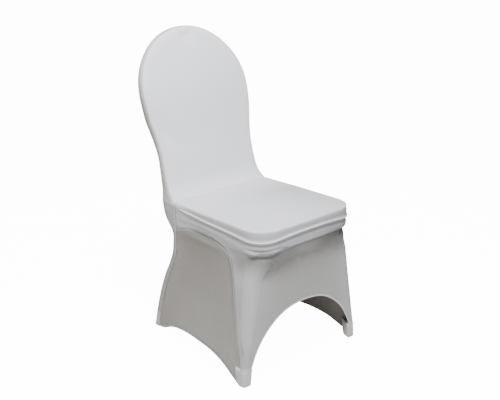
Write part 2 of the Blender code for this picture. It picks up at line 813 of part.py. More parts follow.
def foot_corners(foot, height):
    """Plan corners of a left pocket at a height: outer front, inner front, inner rear, outer rear."""
    front = smooth_read(foot, "height", "front", height)
    rear = smooth_read(foot, "height", "rear", height)
    inner = smooth_read(foot, "height", "inner", height)
    lean = POCKET_INNER_LEAN * height / POCKET_TOP
    taper = POCKET_TAPER * height / POCKET_TOP
    outer_front = smooth_read(foot, "height", "outer", height)
    outer_rear = outer_front
    if foot is FRONT_FOOT:
        outer_front -= taper
        inner_rear = Vector((-inner - lean, rear))
        inner_front = Vector((-inner, front))
    else:
        outer_rear -= taper
        inner_rear = Vector((-inner, rear))
        inner_front = Vector((-inner - lean / 2, front))
    return [Vector((-outer_front, front)), inner_front, inner_rear, Vector((-outer_rear, rear))]


def build_pocket(name, foot, mirror):
    """A closed cup of doubled cloth for one foot of the chair."""
    top_radii, floor_radii = FRONT_RADII if foot is FRONT_FOOT else REAR_RADII
    shape = bmesh.new()
    rim = POCKET_TOP - STITCH_GAP
    bend = POCKET_FLOOR_BEND
    outer_levels = [(0.0, bend), (bend, 0.0), (0.010, 0.0), (0.030, 0.0), (rim, 0.0)]
    inner_levels = [(rim, POCKET_CLOTH), (0.010, POCKET_CLOTH), (POCKET_CLOTH, POCKET_CLOTH)]
    rings = []
    for height, inset in outer_levels + inner_levels:
        size = [mix(low, high, height / POCKET_TOP) for low, high in zip(floor_radii, top_radii)]
        ring = inset_ring(rounded_ring(foot_corners(foot, height), size, height), inset)
        if mirror:
            ring = [mirrored(point, 1) for point in ring]
        rings.append(ring)
    wrap_rings(shape, rings)
    return finish_piece(name, shape, (0.66, 0.65, 0.63), 0.75)


def main():
    for item in list(bpy.data.objects):
        bpy.data.objects.remove(item)
    skin, mark = lay_out_skin()
    cut_panel(skin, mark, FRONT, "front_panel", (0.62, 0.62, 0.63))
    cut_panel(skin, mark, BACK, "back_panel", (0.60, 0.60, 0.60))
    cut_panel(skin, mark, LEFT, "side_panel_left", (0.56, 0.55, 0.54))
    cut_panel(skin, mark, RIGHT, "side_panel_right", (0.56, 0.55, 0.54))
    skin.free()
    for place, foot in (("front", FRONT_FOOT), ("rear", REAR_FOOT)):
        build_pocket("foot_pocket_" + place + "_left", foot, False)
        build_pocket("foot_pocket_" + place + "_right", foot, True)


main()
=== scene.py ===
"""The looks of a fitted white stretch cover for a round-topped banquet chair.

The cover is one sheet of knit cloth in sewn panels. Its outer surface is laid out as one skin of
grids, smoothed, given its folds and seams, and then cut into one piece for each panel.

Metres, +Z up, the front of the seat towards -Y. The tables put zero depth where the photo fit has
it, and DEPTH_MIDDLE moves the finished cloth so that its box is centred.
"""
from collections import namedtuple
from functools import cache, partial
from math import cos, exp, pi, radians, sin, tan

import bmesh
import bpy
import numpy as np
from mathutils import Matrix, Vector
from mathutils.kdtree import KDTree


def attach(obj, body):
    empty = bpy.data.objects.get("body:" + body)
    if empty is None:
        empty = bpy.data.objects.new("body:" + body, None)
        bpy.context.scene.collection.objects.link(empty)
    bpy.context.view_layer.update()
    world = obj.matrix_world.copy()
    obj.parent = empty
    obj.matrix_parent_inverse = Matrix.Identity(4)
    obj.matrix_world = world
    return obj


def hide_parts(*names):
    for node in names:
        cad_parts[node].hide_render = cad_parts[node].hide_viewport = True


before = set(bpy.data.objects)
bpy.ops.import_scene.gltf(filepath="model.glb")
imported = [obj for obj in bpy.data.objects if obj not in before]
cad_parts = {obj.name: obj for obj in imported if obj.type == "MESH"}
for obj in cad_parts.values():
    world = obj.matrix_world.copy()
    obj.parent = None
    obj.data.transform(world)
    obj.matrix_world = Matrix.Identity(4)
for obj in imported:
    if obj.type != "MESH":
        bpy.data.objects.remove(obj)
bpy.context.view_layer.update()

# Driving dimensions
SEAT_TOP = 0.4565
BACK_TOP = 0.938
BACK_WIDEST_AT = 0.7526
VALLEY_DEPTH = 0.158
VALLEY_HALF = 0.190
VALLEY_INSET = 0.002
SEAT_HALF = 0.1945
SEAT_FRONT = -0.2215
SEAT_CORNER = 0.070
SMALLEST_CORNER = 0.004
CORNER_REACH = 0.090
SEAT_FRONT_BOW = 0.0035
SEAT_BOW_FROM = 0.050
SEAT_BOW_OVER = 0.250
SEAT_TAPER_FROM = 0.020
SEAT_TAPER_OVER = 0.138
ARCH_END = -0.100
BAND_CORNER_SHARE = 0.55
POCKET_TOP = 0.050
FRONT_HEM = 0.1995
FRONT_HEM_HALF = 0.2125
REAR_HEM = 0.150
REAR_HEM_HALF = 0.176
SIDE_HEM = 0.049
SIDE_HEM_MIDDLE = 0.050
SIDE_HEM_HALF = 0.210
HEM_CLEARANCE = 0.004
HEM_ACROSS_POWER = 2.277
HEM_HEIGHT_POWER = 1.66
HEM_CROWDING = 0.9
SKIRT_BLEND = 0.25
SEAT_CROWN = 0.006
SEAT_CROWN_AT = -0.020
SEAT_CROWN_HALF = 0.165
SEAT_CROWN_REACH = 0.175
BACK_CROWN = 0.004
BACK_CROWN_FROM = 0.500
BACK_CROWN_TALL = 0.410
BACK_CROWN_HALF = 0.170
SIDE_DISH = 0.012
SIDE_DISH_POWER = 0.7
SIDE_BULGE = 0.006
SIDE_BULGE_BELOW = 0.20
VALLEY_HEIGHT = 0.442
UPRIGHT_OVER = 0.060
LEVEL_OUT_BELOW = 0.530
RIM_CROWDING = 1.45
TOP_FADE = 1.5
CLOTH = 0.0010
POCKET_CLOTH = 0.0018
POCKET_TUCK = 0.0016
POCKET_TUCK_HEIGHT = 0.005
POCKET_LIP = 0.0004
STITCH_GAP = 0.0004
POCKET_GAP = 0.0003
POCKET_INNER_LEAN = 0.009
POCKET_INNER_SLANT = 0.006
POCKET_TAPER = 0.0012
WELD = 0.00005

# The photo fit's zero depth lies this far in front of the middle of the cover's box
DEPTH_MIDDLE = 0.0644

# How finely each stretch is divided, before it is smoothed
SIDE_STEPS = 12
TURN_STEPS = 2
HALF_CORNER_STEPS = 5
FRONT_STEPS = 16
BACK_STEPS = 20
SKIRT_STEPS = 24
SIDE_ROWS = SKIRT_STEPS + 2
ACROSS = FRONT_STEPS + 2 * HALF_CORNER_STEPS
TURN_END = SIDE_STEPS + TURN_STEPS
CORNER_END = TURN_END + 2 * HALF_CORNER_STEPS
SEAT_ROWS = TURN_END + HALF_CORNER_STEPS
SEAT_COLUMNS = 2 * CORNER_END + FRONT_STEPS
SKIRT_COLUMNS = SEAT_COLUMNS - 2 * SIDE_STEPS
RIM_COLUMNS = 2 * BACK_STEPS + ACROSS
SHOULDER_STEPS = 4
LUMBAR_STEPS = 6
VALLEY_COLUMNS = 3
CURVE_STEPS = 8
POCKET_CORNER_STEPS = 6
SMOOTH_LEVELS = 2
EDGE_SAMPLES = 6
CAGE_CORRECTIONS = 3
CORNER_TURN = radians(145)
QUARTER = radians(90)

FRONT, BACK, LEFT, RIGHT = 1, 2, 3, 4


def table(columns, *rows):
    """Rows of values under named columns."""
    row = namedtuple("Row", columns)
    return [row(*values) for values in rows]


BACK_ROWS = table(
    "height half seam rear",
    (0.442, 0.1890, 0.158, 0.2290),
    (0.455, 0.1855, 0.176, 0.2310),
    (0.470, 0.1825, 0.192, 0.2330),
    (0.485, 0.1805, 0.202, 0.2360),
    (0.520, 0.1790, 0.214, 0.2415),
    (0.568, 0.1780, 0.226, 0.2500),
    (0.627, 0.1845, 0.240, 0.2680),
    (0.686, 0.1960, 0.254, 0.2855),
    (0.7526, 0.2007, 0.272, 0.3000),
    (0.850, 0.2007, 0.304, 0.3270),
    (0.938, 0.2007, 0.336, 0.3570),
)
LEG_ROWS = table(
    "height front_half front front_corner rear_half rear seam",
    (0.000, 0.2325, -0.1930, 0.010, 0.1820, 0.3060, 0.276),
    (0.050, 0.2300, -0.1930, 0.014, 0.1820, 0.2940, 0.268),
    (0.100, 0.2252, -0.1932, 0.020, 0.1820, 0.2790, 0.252),
    (0.150, 0.2202, -0.1935, 0.026, 0.1825, 0.2600, 0.233),
    (0.200, 0.2145, -0.1940, 0.031, 0.1830, 0.2370, 0.210),
    (0.250, 0.2088, -0.1945, 0.036, 0.1840, 0.2080, 0.183),
    (0.300, 0.2028, -0.1950, 0.040, 0.1850, 0.1870, 0.164),
    (0.350, 0.1965, -0.1960, 0.046, 0.1870, 0.1800, 0.159),
    (0.368, 0.1945, -0.1970, 0.048, 0.1885, 0.1870, 0.158),
    (0.388, 0.1918, -0.1985, 0.050, 0.1890, 0.2080, 0.158),
    (0.410, 0.1900, -0.2000, 0.050, 0.1890, 0.2220, 0.158),
    (0.442, 0.1900, -0.2000, 0.050, 0.1890, 0.2290, 0.158),
)

# Depth and height of the side panel's stitched edge, over its arched top and down the front leg
ARCH_TOP = [Vector((0.0, depth, height)) for depth, height in (
    (0.158, 0.368), (0.127, 0.381), (0.080, 0.3915), (0.020, 0.3925), (-0.040, 0.3875),
    (-0.080, 0.3740), (-0.102, 0.3520))]
ARCH_LEG = [Vector((0.0, depth, height)) for depth, height in (
    (-0.102, 0.3520), (-0.112, 0.326), (-0.121, 0.290), (-0.133, 0.229), (-0.146, 0.171),
    (-0.160, 0.113), (-0.173, 0.050))]

# Foot pockets: where each ends from the floor up, and the radii of its corners at its top and on
# the floor, in the order outer front, inner front, inner rear, outer rear
FOOT_COLUMNS = "height front rear inner outer"
FRONT_FOOT = table(
    FOOT_COLUMNS,
    (0.0, -0.1930, -0.1670, 0.2035, 0.2325),
    (0.010, -0.1930, -0.1600, 0.2020, 0.2325),
    (POCKET_TOP, -0.1930, -0.1540, 0.1970, 0.2314),
)
REAR_FOOT = table(
    FOOT_COLUMNS,
    (0.0, 0.2800, 0.3055, 0.1590, 0.1820),
    (0.010, 0.2760, 0.3030, 0.1598, 0.1825),
    (POCKET_TOP, 0.2680, 0.2940, 0.1630, 0.1830),
)
FRONT_RADII = ((0.014, 0.004, 0.006, 0.003), (0.011, 0.005, 0.006, 0.004))
REAR_RADII = ((0.003, 0.006, 0.004, 0.012), (0.004, 0.006, 0.006, 0.008))

# Round the seat, from the flat top outwards and down to the foot of the rail band
EDGE_ROWS = table(
    "inset height side_inset side_height corner_drop",
    (0.0320, SEAT_TOP, 0.0300, SEAT_TOP, 0.0),
    (0.0120, 0.4563, 0.0130, 0.4558, 0.0),
    (0.0045, 0.4533, 0.0060, 0.4525, 0.0),
    (0.0034, 0.4430, 0.0045, 0.4450, 0.0025),
    (0.0034, 0.4345, 0.0042, 0.4415, 0.0075),
    (0.0000, 0.4300, 0.0008, 0.4380, 0.0085),
    (0.0060, 0.4250, 0.0045, 0.4310, 0.0085),
    (0.0040, 0.4130, 0.0020, 0.4150, 0.0050),
    (0.0045, 0.4020, 0.0023, 0.4020, 0.0015),
    (0.0062, 0.3930, 0.0025, 0.3860, 0.0),
    (0.0205, 0.3890, 0.0030, 0.3680, 0.0),
)
SEAM_ROW = 3
RIDGE_ROW = 5
RIDGE_FOOT_ROW = 6
BAND_ROW = len(EDGE_ROWS) - 1

# Round the rim of the back, from the flat face outwards to the stitched edge
RIM_ROWS = table("inset drop", (0.028, 0.0), (0.016, 0.0008), (0.006, 0.0032), (0.0, 0.0085))

# From the stitched edge over the narrow side wall to the flat rear face
WALL_ROWS = table("share inset", (0.0, 0.0), (0.33, -0.0005), (0.66, 0.0), (0.88, 0.003),
                  (0.98, 0.008), (1.0, 0.018))
INNER_WALL_ROW = len(WALL_ROWS) - 1

# Steps up the left edge of the back panel: leg, valley and side of the back
VALLEY_STEPS = BAND_ROW - SEAM_ROW
WALL_STATIONS = SKIRT_STEPS + VALLEY_STEPS + BACK_STEPS


def smooth_read(rows, column, at):
    """Read a column of a table at any height, on a smooth curve without overshoot."""
    keys = [row.height for row in rows]
    values = [getattr(row, column) for row in rows]
    if at <= keys[0]:
        return values[0]
    if at >= keys[-1]:
        return values[-1]
    slopes = [(values[i + 1] - values[i]) / (keys[i + 1] - keys[i]) for i in range(len(keys) - 1)]
    tangents = [slopes[0]]
    for before, after in zip(slopes, slopes[1:]):
        tangents.append(0.0 if before * after <= 0 else 2 * before * after / (before + after))
    tangents.append(slopes[-1])
    i = max(n for n, value in enumerate(keys) if value <= at)
    span = keys[i + 1] - keys[i]
    t = (at - keys[i]) / span
    return ((1 + 2 * t) * (1 - t) ** 2 * values[i] + t * (1 - t) ** 2 * span * tangents[i]
            + t * t * (3 - 2 * t) * values[i + 1] + t * t * (t - 1) * span * tangents[i + 1])


back_read = cache(partial(smooth_read, BACK_ROWS))
leg_read = cache(partial(smooth_read, LEG_ROWS))


def mix(a, b, t):
    return a + (b - a) * t


def ease(t):
    t = min(max(t, 0.0), 1.0)
    return t * t * (3 - 2 * t)


def along(points, share):
    """The point at a share of the length of a smooth curve through the given points."""
    fine = []
    count = len(points)
    for i in range(count - 1):
        before = points[max(i - 1, 0)]
        after = points[min(i + 2, count - 1)]
        for n in range(CURVE_STEPS):
            fine.append(catmull(before, points[i], points[i + 1], after, n / CURVE_STEPS))
    fine.append(points[-1])
    lengths = [0.0]
    for a, b in zip(fine, fine[1:]):
        lengths.append(lengths[-1] + (b - a).length)
    target = share * lengths[-1]
    for i in range(len(fine) - 1):
        if lengths[i + 1] >= target - 1e-12:
            t = (target - lengths[i]) / (lengths[i + 1] - lengths[i])
            return fine[i].lerp(fine[i + 1], t)
    return fine[-1]


def catmull(a, b, c, d, t):
    return 0.5 * (2 * b + (c - a) * t + (2 * a - 5 * b + 4 * c - d) * t * t
                  + (3 * b - a - 3 * c + d) * t ** 3)


def mirrored(point):
    return Vector((-point.x, point.y, point.z))


# Outline of the back

def rim_station(step):
    """Outline point (x, height) and its outward direction at a step up the left edge.

    Steps 0 to BACK_STEPS climb the side, and ACROSS more steps go over the round top. The first
    stations lie closer together, because the cloth bends from the seat to the back there.
    """
    top_radius = BACK_TOP - BACK_WIDEST_AT
    straight_steps = BACK_STEPS - SHOULDER_STEPS
    if step <= straight_steps:
        height = mix(VALLEY_HEIGHT, BACK_WIDEST_AT, (step / straight_steps) ** RIM_CROWDING)
        slope = slope_of("half", height)
        out = Vector((-1.0, -slope if height > LEVEL_OUT_BELOW else 0.0)).normalized()
        return Vector((-back_read("half", height), height)), out
    if step <= BACK_STEPS:
        angle = radians(45) * (step - straight_steps) / SHOULDER_STEPS
    else:
        angle = radians(45 + 90 * (step - BACK_STEPS) / ACROSS)
    half = back_read("half", BACK_WIDEST_AT)
    place = Vector((-half * cos(angle), BACK_WIDEST_AT + top_radius * sin(angle)))
    out = Vector((-top_radius * cos(angle), half * sin(angle))).normalized()
    return place, out


def inward_lean(height):
    """Direction from the cloth into the padding: down on the seat, rearwards on the back."""
    tilt = QUARTER * ease((height - VALLEY_HEIGHT) / UPRIGHT_OVER)
    return Vector((0.0, sin(tilt), -cos(tilt)))


@cache
def rim_point(step, row):
    """A point on the cloth round the rim of the back, at a step along it and a row across."""
    place, out = rim_station(step)
    rim = RIM_ROWS[row]
    seam = Vector((place.x, back_read("seam", place.y), place.y))
    lean = inward_lean(place.y)
    drop = RIM_ROWS[-1].drop
    face = seam - lean * (drop - rim.drop)
    inset = rim.inset
    rearwards = slope_of("seam", face.z) * -out.y * inset * lean.y
    return Vector((face.x - out.x * inset, face.y + rearwards, face.z - out.y * inset))


def slope_of(column, height):
    """How fast a column of the back's table changes with height."""
    reach = 0.003
    rise = back_read(column, height + reach) - back_read(column, height - reach)
    return rise / (2 * reach)


# Round the seat

def round_corner(half, start, radius, step):
    """Plan place at a step round the front left corner, which starts at a depth."""
    angle = QUARTER * step / (2 * HALF_CORNER_STEPS)
    return radius - half - radius * cos(angle), start - radius * sin(angle)


@cache
def seat_column(column, inset):
    """Plan position of a column round the seat's U, from the left valley to the right one."""
    if column > SEAT_COLUMNS // 2:
        plan = seat_column(SEAT_COLUMNS - column, inset)
        return Vector((-plan.x, plan.y))
    radius = max(SEAT_CORNER - inset, SMALLEST_CORNER)
    half = SEAT_HALF - inset
    x = -half
    y = SEAT_FRONT + inset
    corner_start = y + radius
    if column <= SIDE_STEPS:
        y = mix(VALLEY_DEPTH, ARCH_END, column / SIDE_STEPS)
    elif column <= TURN_END:
        y = mix(ARCH_END, corner_start, (column - SIDE_STEPS) / TURN_STEPS)
    elif column <= CORNER_END:
        x, y = round_corner(half, corner_start, radius, column - TURN_END)
    else:
        x = mix(-(half - radius), 0.0, (column - CORNER_END) / (FRONT_STEPS / 2))
    bow = SEAT_FRONT_BOW * (1 - (x / SEAT_HALF) ** 2) * ease((SEAT_BOW_FROM - y) / SEAT_BOW_OVER)
    taper = (VALLEY_HALF - SEAT_HALF) * ease((y - SEAT_TAPER_FROM) / SEAT_TAPER_OVER)
    x -= taper if x < 0 else 0.0
    return Vector((x, y - bow))


@cache
def seat_point(column, row):
    """A point on the cloth round the seat, at a column round the U and a row down its edge."""
    edge = EDGE_ROWS[row]
    n = min(column, SEAT_COLUMNS - column)
    if row == BAND_ROW and n <= SIDE_STEPS:
        point = arch_point(n / SIDE_STEPS, 0)
        return point if column == n else mirrored(point)
    forward = ease((n - SIDE_STEPS) / (TURN_STEPS + HALF_CORNER_STEPS))
    wedge = ease(n / SIDE_STEPS)
    inset = mix(edge.side_inset, edge.inset, forward)
    if row >= SEAM_ROW:
        inset = mix(VALLEY_INSET, inset, ease(n / VALLEY_COLUMNS))
    if row <= RIDGE_FOOT_ROW:
        height = mix(edge.side_height, edge.height, wedge)
    else:
        ridge_foot = EDGE_ROWS[RIDGE_FOOT_ROW]
        start = ridge_foot.side_height if n == 0 else ridge_foot.height
        share = (row - RIDGE_FOOT_ROW) / (BAND_ROW - RIDGE_FOOT_ROW)
        arch = along(ARCH_TOP, min(n / SIDE_STEPS, 1.0)).z
        height = mix(mix(start, arch, share), edge.height, forward)
    if row == BAND_ROW:
        middle = ease((n - CORNER_END) / HALF_CORNER_STEPS)
        inset *= mix(BAND_CORNER_SHARE, 1.0, middle)
    plan = seat_column(column, inset)
    corner = Vector((abs(plan.x) - SEAT_HALF, plan.y - SEAT_FRONT))
    height -= edge.corner_drop * exp(-(corner.length / CORNER_REACH) ** 2)
    if n == 0 and row >= SEAM_ROW:
        plan.y = VALLEY_DEPTH
    return Vector((plan.x, plan.y, height))


@cache
def arch_point(share, leg):
    """A point of the left arch seam: along its top, or down the front leg."""
    return on_side(along(ARCH_LEG if leg else ARCH_TOP, share))


# Skirt

def between_legs(depth, height):
    """Share of the way from the front leg's corner to the rear seam at a height."""
    front = leg_read("front", height) + leg_read("front_corner", height)
    return (depth - front) / (leg_read("seam", height) - front)


def side_half(depth, height):
    """Half width of the side cloth, which is stretched between the front and rear legs."""
    t = between_legs(depth, height)
    half = mix(leg_read("front_half", height), leg_read("rear_half", height), t)
    low = ease((SIDE_BULGE_BELOW - height) / SIDE_BULGE_BELOW)
    return half + SIDE_BULGE * low * sin(pi * min(max(t, 0.0), 1.0))


def on_side(flat):
    """The point of the left side cloth at the depth and height of a point."""
    return Vector((-side_half(flat.y, flat.z), flat.y, flat.z))


def side_dish(depth, height):
    """How far the side panel draws in between its seams."""
    t = min(max(between_legs(depth, height), 0.0), 1.0)
    down = min(max(height / ARCH_TOP[0].z, 0.0), 1.0)
    return SIDE_DISH * sin(pi * t) * sin(pi * down) ** SIDE_DISH_POWER


def skirt_corner(n, height, seam_depth):
    """The front skirt's columns at one height, from the arch seam round to the middle."""
    half = leg_read("front_half", height)
    front = leg_read("front", height)
    radius = leg_read("front_corner", height)
    start = front + radius
    if n <= TURN_STEPS:
        return on_side(Vector((0.0, mix(seam_depth, start, n / TURN_STEPS), height)))
    return Vector((*round_corner(half, start, radius, n - TURN_STEPS), height))


def front_hem_half(height):
    """Half width of the front arch at a height."""
    share = 1 - (height / FRONT_HEM) ** HEM_HEIGHT_POWER
    return FRONT_HEM_HALF * share ** (1 / HEM_ACROSS_POWER)


def hem_height(across, top, half):
    """Height of an arched hem at a distance from its middle."""
    return top * (1 - abs(across / half) ** HEM_ACROSS_POWER) ** (1 / HEM_HEIGHT_POWER)


def skirt_point(column, step):
    """A point of the front skirt: columns from the left arch seam to the right, rows downwards."""
    if column > SKIRT_COLUMNS // 2:
        return mirrored(skirt_point(SKIRT_COLUMNS - column, step))
    share = step / SKIRT_STEPS
    top = seat_point(SIDE_STEPS + column, BAND_ROW)
    corner_end = CORNER_END - SIDE_STEPS
    blend = ease(share / SKIRT_BLEND)
    if column == 0:
        return arch_point(share, 1)
    if column <= corner_end:
        height = mix(top.z, POCKET_TOP, share)
        leg = skirt_corner(column, height, along(ARCH_LEG, share).y)
        return Vector((mix(top.x, leg.x, blend), mix(top.y, leg.y, blend), height))
    t = (column - corner_end) / (FRONT_STEPS / 2)
    foot_start = leg_read("front_half", POCKET_TOP) - leg_read("front_corner", POCKET_TOP)
    across = foot_start * cos(QUARTER * t) ** HEM_CROWDING if t < 1 else 0.0
    across = min(across, front_hem_half(POCKET_TOP))
    height = mix(top.z, max(hem_height(across, FRONT_HEM, FRONT_HEM_HALF), POCKET_TOP), share)
    depth = mix(top.y, leg_read("front", height), blend)
    return Vector((mix(top.x, -across, share), depth, height))


def side_hem_height(depth):
    reach = min(abs(depth - SIDE_HEM_MIDDLE) / SIDE_HEM_HALF, 1.0)
    return SIDE_HEM * (1 - reach ** 3)


def side_edge(step, rear):
    """A point down the front or rear edge of the side panel: its seam, then the pocket's edge."""
    if step <= SKIRT_STEPS:
        share = step / SKIRT_STEPS
        return rear_seam_flat(share) if rear else along(ARCH_LEG, share)
    height = HEM_CLEARANCE
    if step == SKIRT_STEPS + 1:
        height = (POCKET_TOP + HEM_CLEARANCE) / 2 if rear else POCKET_TOP
    if rear:
        depth = smooth_read(REAR_FOOT, "front", height) - POCKET_GAP
    else:
        depth = smooth_read(FRONT_FOOT, "rear", height) + POCKET_GAP
    return Vector((0.0, depth, height))


def side_hem_point(column):
    """The lower edge of the left side panel, from the front pocket to the rear one."""
    first, last = (side_edge(SIDE_ROWS, rear).y for rear in (False, True))
    depth = mix(first, last, column / SIDE_STEPS)
    return Vector((0.0, depth, max(side_hem_height(depth), HEM_CLEARANCE)))


def side_point(column, step):
    """A point of the left side panel, filled in between its four edges."""
    edges = (lambda s: side_edge(s, False), lambda s: side_edge(s, True),
             lambda c: along(ARCH_TOP, 1 - c / SIDE_STEPS), side_hem_point)
    flat = fill((SIDE_STEPS, SIDE_ROWS), (column, step), edges)
    point = on_side(flat)
    if 0 < column < SIDE_STEPS and step > 0:
        point.x += side_dish(flat.y, flat.z)
    return point


@cache
def rear_seam_flat(share):
    height = mix(ARCH_TOP[0].z, POCKET_TOP, share)
    return Vector((0.0, leg_read("seam", height), height))


# Back panel

def rear_read(height):
    if height <= VALLEY_HEIGHT:
        return leg_read("rear", height)
    return back_read("rear", height)


@cache
def wall_seam(step):
    """The back panel's stitched edge, its outline point and the outline's direction there."""
    if step <= SKIRT_STEPS:
        flat = rear_seam_flat(1 - step / SKIRT_STEPS)
        half = leg_read("rear_half", flat.z)
        return on_side(flat), Vector((-half, flat.z)), Vector((-1.0, 0.0))
    if step <= SKIRT_STEPS + VALLEY_STEPS:
        seam = seat_point(0, BAND_ROW - (step - SKIRT_STEPS))
        return seam, Vector((seam.x, seam.z)), Vector((-1.0, 0.0))
    rim_step = step - SKIRT_STEPS - VALLEY_STEPS
    place, out = rim_station(rim_step)
    return rim_point(rim_step, len(RIM_ROWS) - 1), place, out


@cache
def wall_point(step, row):
    """A point on the narrow wall between the stitched edge and the rear face."""
    seam, place, out = wall_seam(step)
    wall = WALL_ROWS[row]
    if row == 0:
        return seam
    x = place.x - out.x * wall.inset
    z = place.y - out.y * wall.inset
    across = mix(seam.x, x, min(wall.share * 3, 1.0))
    return Vector((across, mix(seam.y, rear_read(z), wall.share), z))


def fill(size, place, edges, shares=None):
    """Fill a four-sided field from its edges; each edge is a function of the step along it.

    The shares say how far the shapes of the top and bottom edges are felt in this row.
    """
    (columns, rows), (column, row) = size, place
    left, right, top, bottom = edges
    u = column / columns
    v = row / rows
    top_share, bottom_share = shares if shares else (1 - v, v)
    top_shape = top(column) - top(0).lerp(top(columns), u)
    bottom_shape = bottom(column) - bottom(0).lerp(bottom(columns), u)
    return left(row).lerp(right(row), u) + top_shape * top_share + bottom_shape * bottom_share


def rear_face_point(column, row):
    """The flat rear face between the two walls, from the top row down to the hem."""
    low = -wall_point(0, INNER_WALL_ROW).x

    def left(step):
        return wall_point(WALL_STATIONS - step, INNER_WALL_ROW)

    def top(step):
        return wall_point(WALL_STATIONS + step, INNER_WALL_ROW)

    def bottom(step):
        across = -low * cos(pi * step / ACROSS)
        height = max(hem_height(across, REAR_HEM, REAR_HEM_HALF), POCKET_TOP)
        return Vector((across, rear_read(height), height))

    edges = (left, lambda step: mirrored(left(step)), top, bottom)
    point = fill((ACROSS, WALL_STATIONS), (column, row), edges)
    point.y = rear_read(point.z)
    return point


# Front panel

def face_field_point(column, row):
    """The inside of the back and the seat top, from the top row down and forwards."""
    rows = BACK_STEPS + SEAT_ROWS
    upper_rows = BACK_STEPS - LUMBAR_STEPS

    def left(step):
        if step < BACK_STEPS:
            return rim_point(BACK_STEPS - step, 0)
        return seat_point(step - BACK_STEPS, 0)

    def top(step):
        return rim_point(BACK_STEPS + step, 0)

    def bottom(step):
        return seat_point(SEAT_ROWS + step, 0)

    shares = (max(1 - row / upper_rows, 0.0) ** TOP_FADE, max((row - BACK_STEPS) / SEAT_ROWS, 0.0))
    edges = (left, lambda step: mirrored(left(step)), top, bottom)
    point = fill((ACROSS, rows), (column, row), edges, shares)
    if column in (0, ACROSS) or row in (0, rows):
        return point
    if row < upper_rows:
        point.y = back_read("seam", point.z) - RIM_ROWS[-1].drop
    point.z += seat_crown(point)
    point.y -= back_crown(point)
    return point


def seat_crown(point):
    """How far the cushion stands up over its edges."""
    if point.y > VALLEY_DEPTH:
        return 0.0
    across = 1 - min(abs(point.x) / SEAT_CROWN_HALF, 1.0) ** 2
    forward = 1 - min(abs(point.y - SEAT_CROWN_AT) / SEAT_CROWN_REACH, 1.0) ** 2
    return SEAT_CROWN * across * forward


def back_crown(point):
    """How far the padding of the back stands out forwards."""
    across = 1 - min(abs(point.x) / BACK_CROWN_HALF, 1.0) ** 2
    share = (point.z - BACK_CROWN_FROM) / BACK_CROWN_TALL
    up = sin(pi * min(max(share, 0.0), 1.0))
    return BACK_CROWN * across * up


# Skin

def add_grid(skin, mark, columns, rows, place, panel):
    """Lay one grid of cloth into the skin, with each of its points put in place."""
    grid = bmesh.ops.create_grid(skin, x_segments=columns, y_segments=rows, size=1.0)
    faces = set()
    for index, vert in enumerate(grid["verts"]):
        vert.co = place(index % (columns + 1), index // (columns + 1))
        faces.update(vert.link_faces)
    for face in faces:
        face[mark] = panel


def lay_out_skin():
    """The whole outer surface as one welded skin, its faces marked with their panels."""
    skin = bmesh.new()
    mark = skin.faces.layers.int.new("panel")
    for grid in (
            (ACROSS, BACK_STEPS + SEAT_ROWS, face_field_point, FRONT),
            (RIM_COLUMNS, len(RIM_ROWS) - 1, whole_rim_point, FRONT),
            (SEAT_COLUMNS, BAND_ROW, seat_point, FRONT),
            (SKIRT_COLUMNS, SKIRT_STEPS, skirt_point, FRONT),
            (2 * WALL_STATIONS + ACROSS, INNER_WALL_ROW, whole_wall_point, BACK),
            (ACROSS, WALL_STATIONS, rear_face_point, BACK),
            (SIDE_STEPS, SIDE_ROWS, side_point, LEFT),
            (SIDE_STEPS, SIDE_ROWS, lambda c, r: mirrored(side_point(c, r)), RIGHT)):
        add_grid(skin, mark, *grid)
    bmesh.ops.remove_doubles(skin, verts=skin.verts[:], dist=WELD)
    bmesh.ops.recalc_face_normals(skin, faces=skin.faces[:])
    skin.normal_update()
    return skin


def whole_rim_point(column, row):
    """Round the rim of the back, from the left valley over the top to the right one."""
    if column > RIM_COLUMNS // 2:
        return mirrored(whole_rim_point(RIM_COLUMNS - column, row))
    return rim_point(column, row) if column else seat_point(0, row)


def whole_wall_point(column, row):
    last = 2 * WALL_STATIONS + ACROSS
    if column > last // 2:
        return mirrored(whole_wall_point(last - column, row))
    return wall_point(column, row)


def rounded_ring(corners, radii, height):
    """Points of a rounded four-cornered ring, running round anticlockwise from above."""
    ring = []
    count = len(corners)
    for i, corner in enumerate(corners):
        before = (corners[i - 1] - corner).normalized()
        after = (corners[(i + 1) % count] - corner).normalized()
        reach = radii[i] / tan(before.angle(after) / 2)
        start = corner + before * reach
        end = corner + after * reach
        for n in range(POCKET_CORNER_STEPS + 1):
            t = n / POCKET_CORNER_STEPS
            middle = start.lerp(corner, t).lerp(corner.lerp(end, t), t)
            ring.append(Vector((middle.x, middle.y, height)))
    return ring


def inset_ring(ring, distance):
    """The same ring moved inwards by a distance."""
    count = len(ring)
    moved = []
    for i, point in enumerate(ring):
        run = ring[(i + 1) % count] - ring[i - 1]
        inward = Vector((-run.y, run.x, 0.0)).normalized()
        moved.append(point + inward * distance)
    return moved


def wrap_rings(shape, rings):
    """Lay one closed sleeve through rings of equal count and close both of its ends."""
    count = len(rings[0])
    grid = bmesh.ops.create_grid(shape, x_segments=count, y_segments=len(rings) - 1, size=1.0)
    for index, vert in enumerate(grid["verts"]):
        vert.co = rings[index // (count + 1)][index % (count + 1) % count]
    bmesh.ops.remove_doubles(shape, verts=shape.verts[:], dist=WELD)
    ends = [edge for edge in shape.edges if edge.is_boundary]
    bmesh.ops.holes_fill(shape, edges=ends, sides=0)
    bmesh.ops.recalc_face_normals(shape, faces=shape.faces[:])


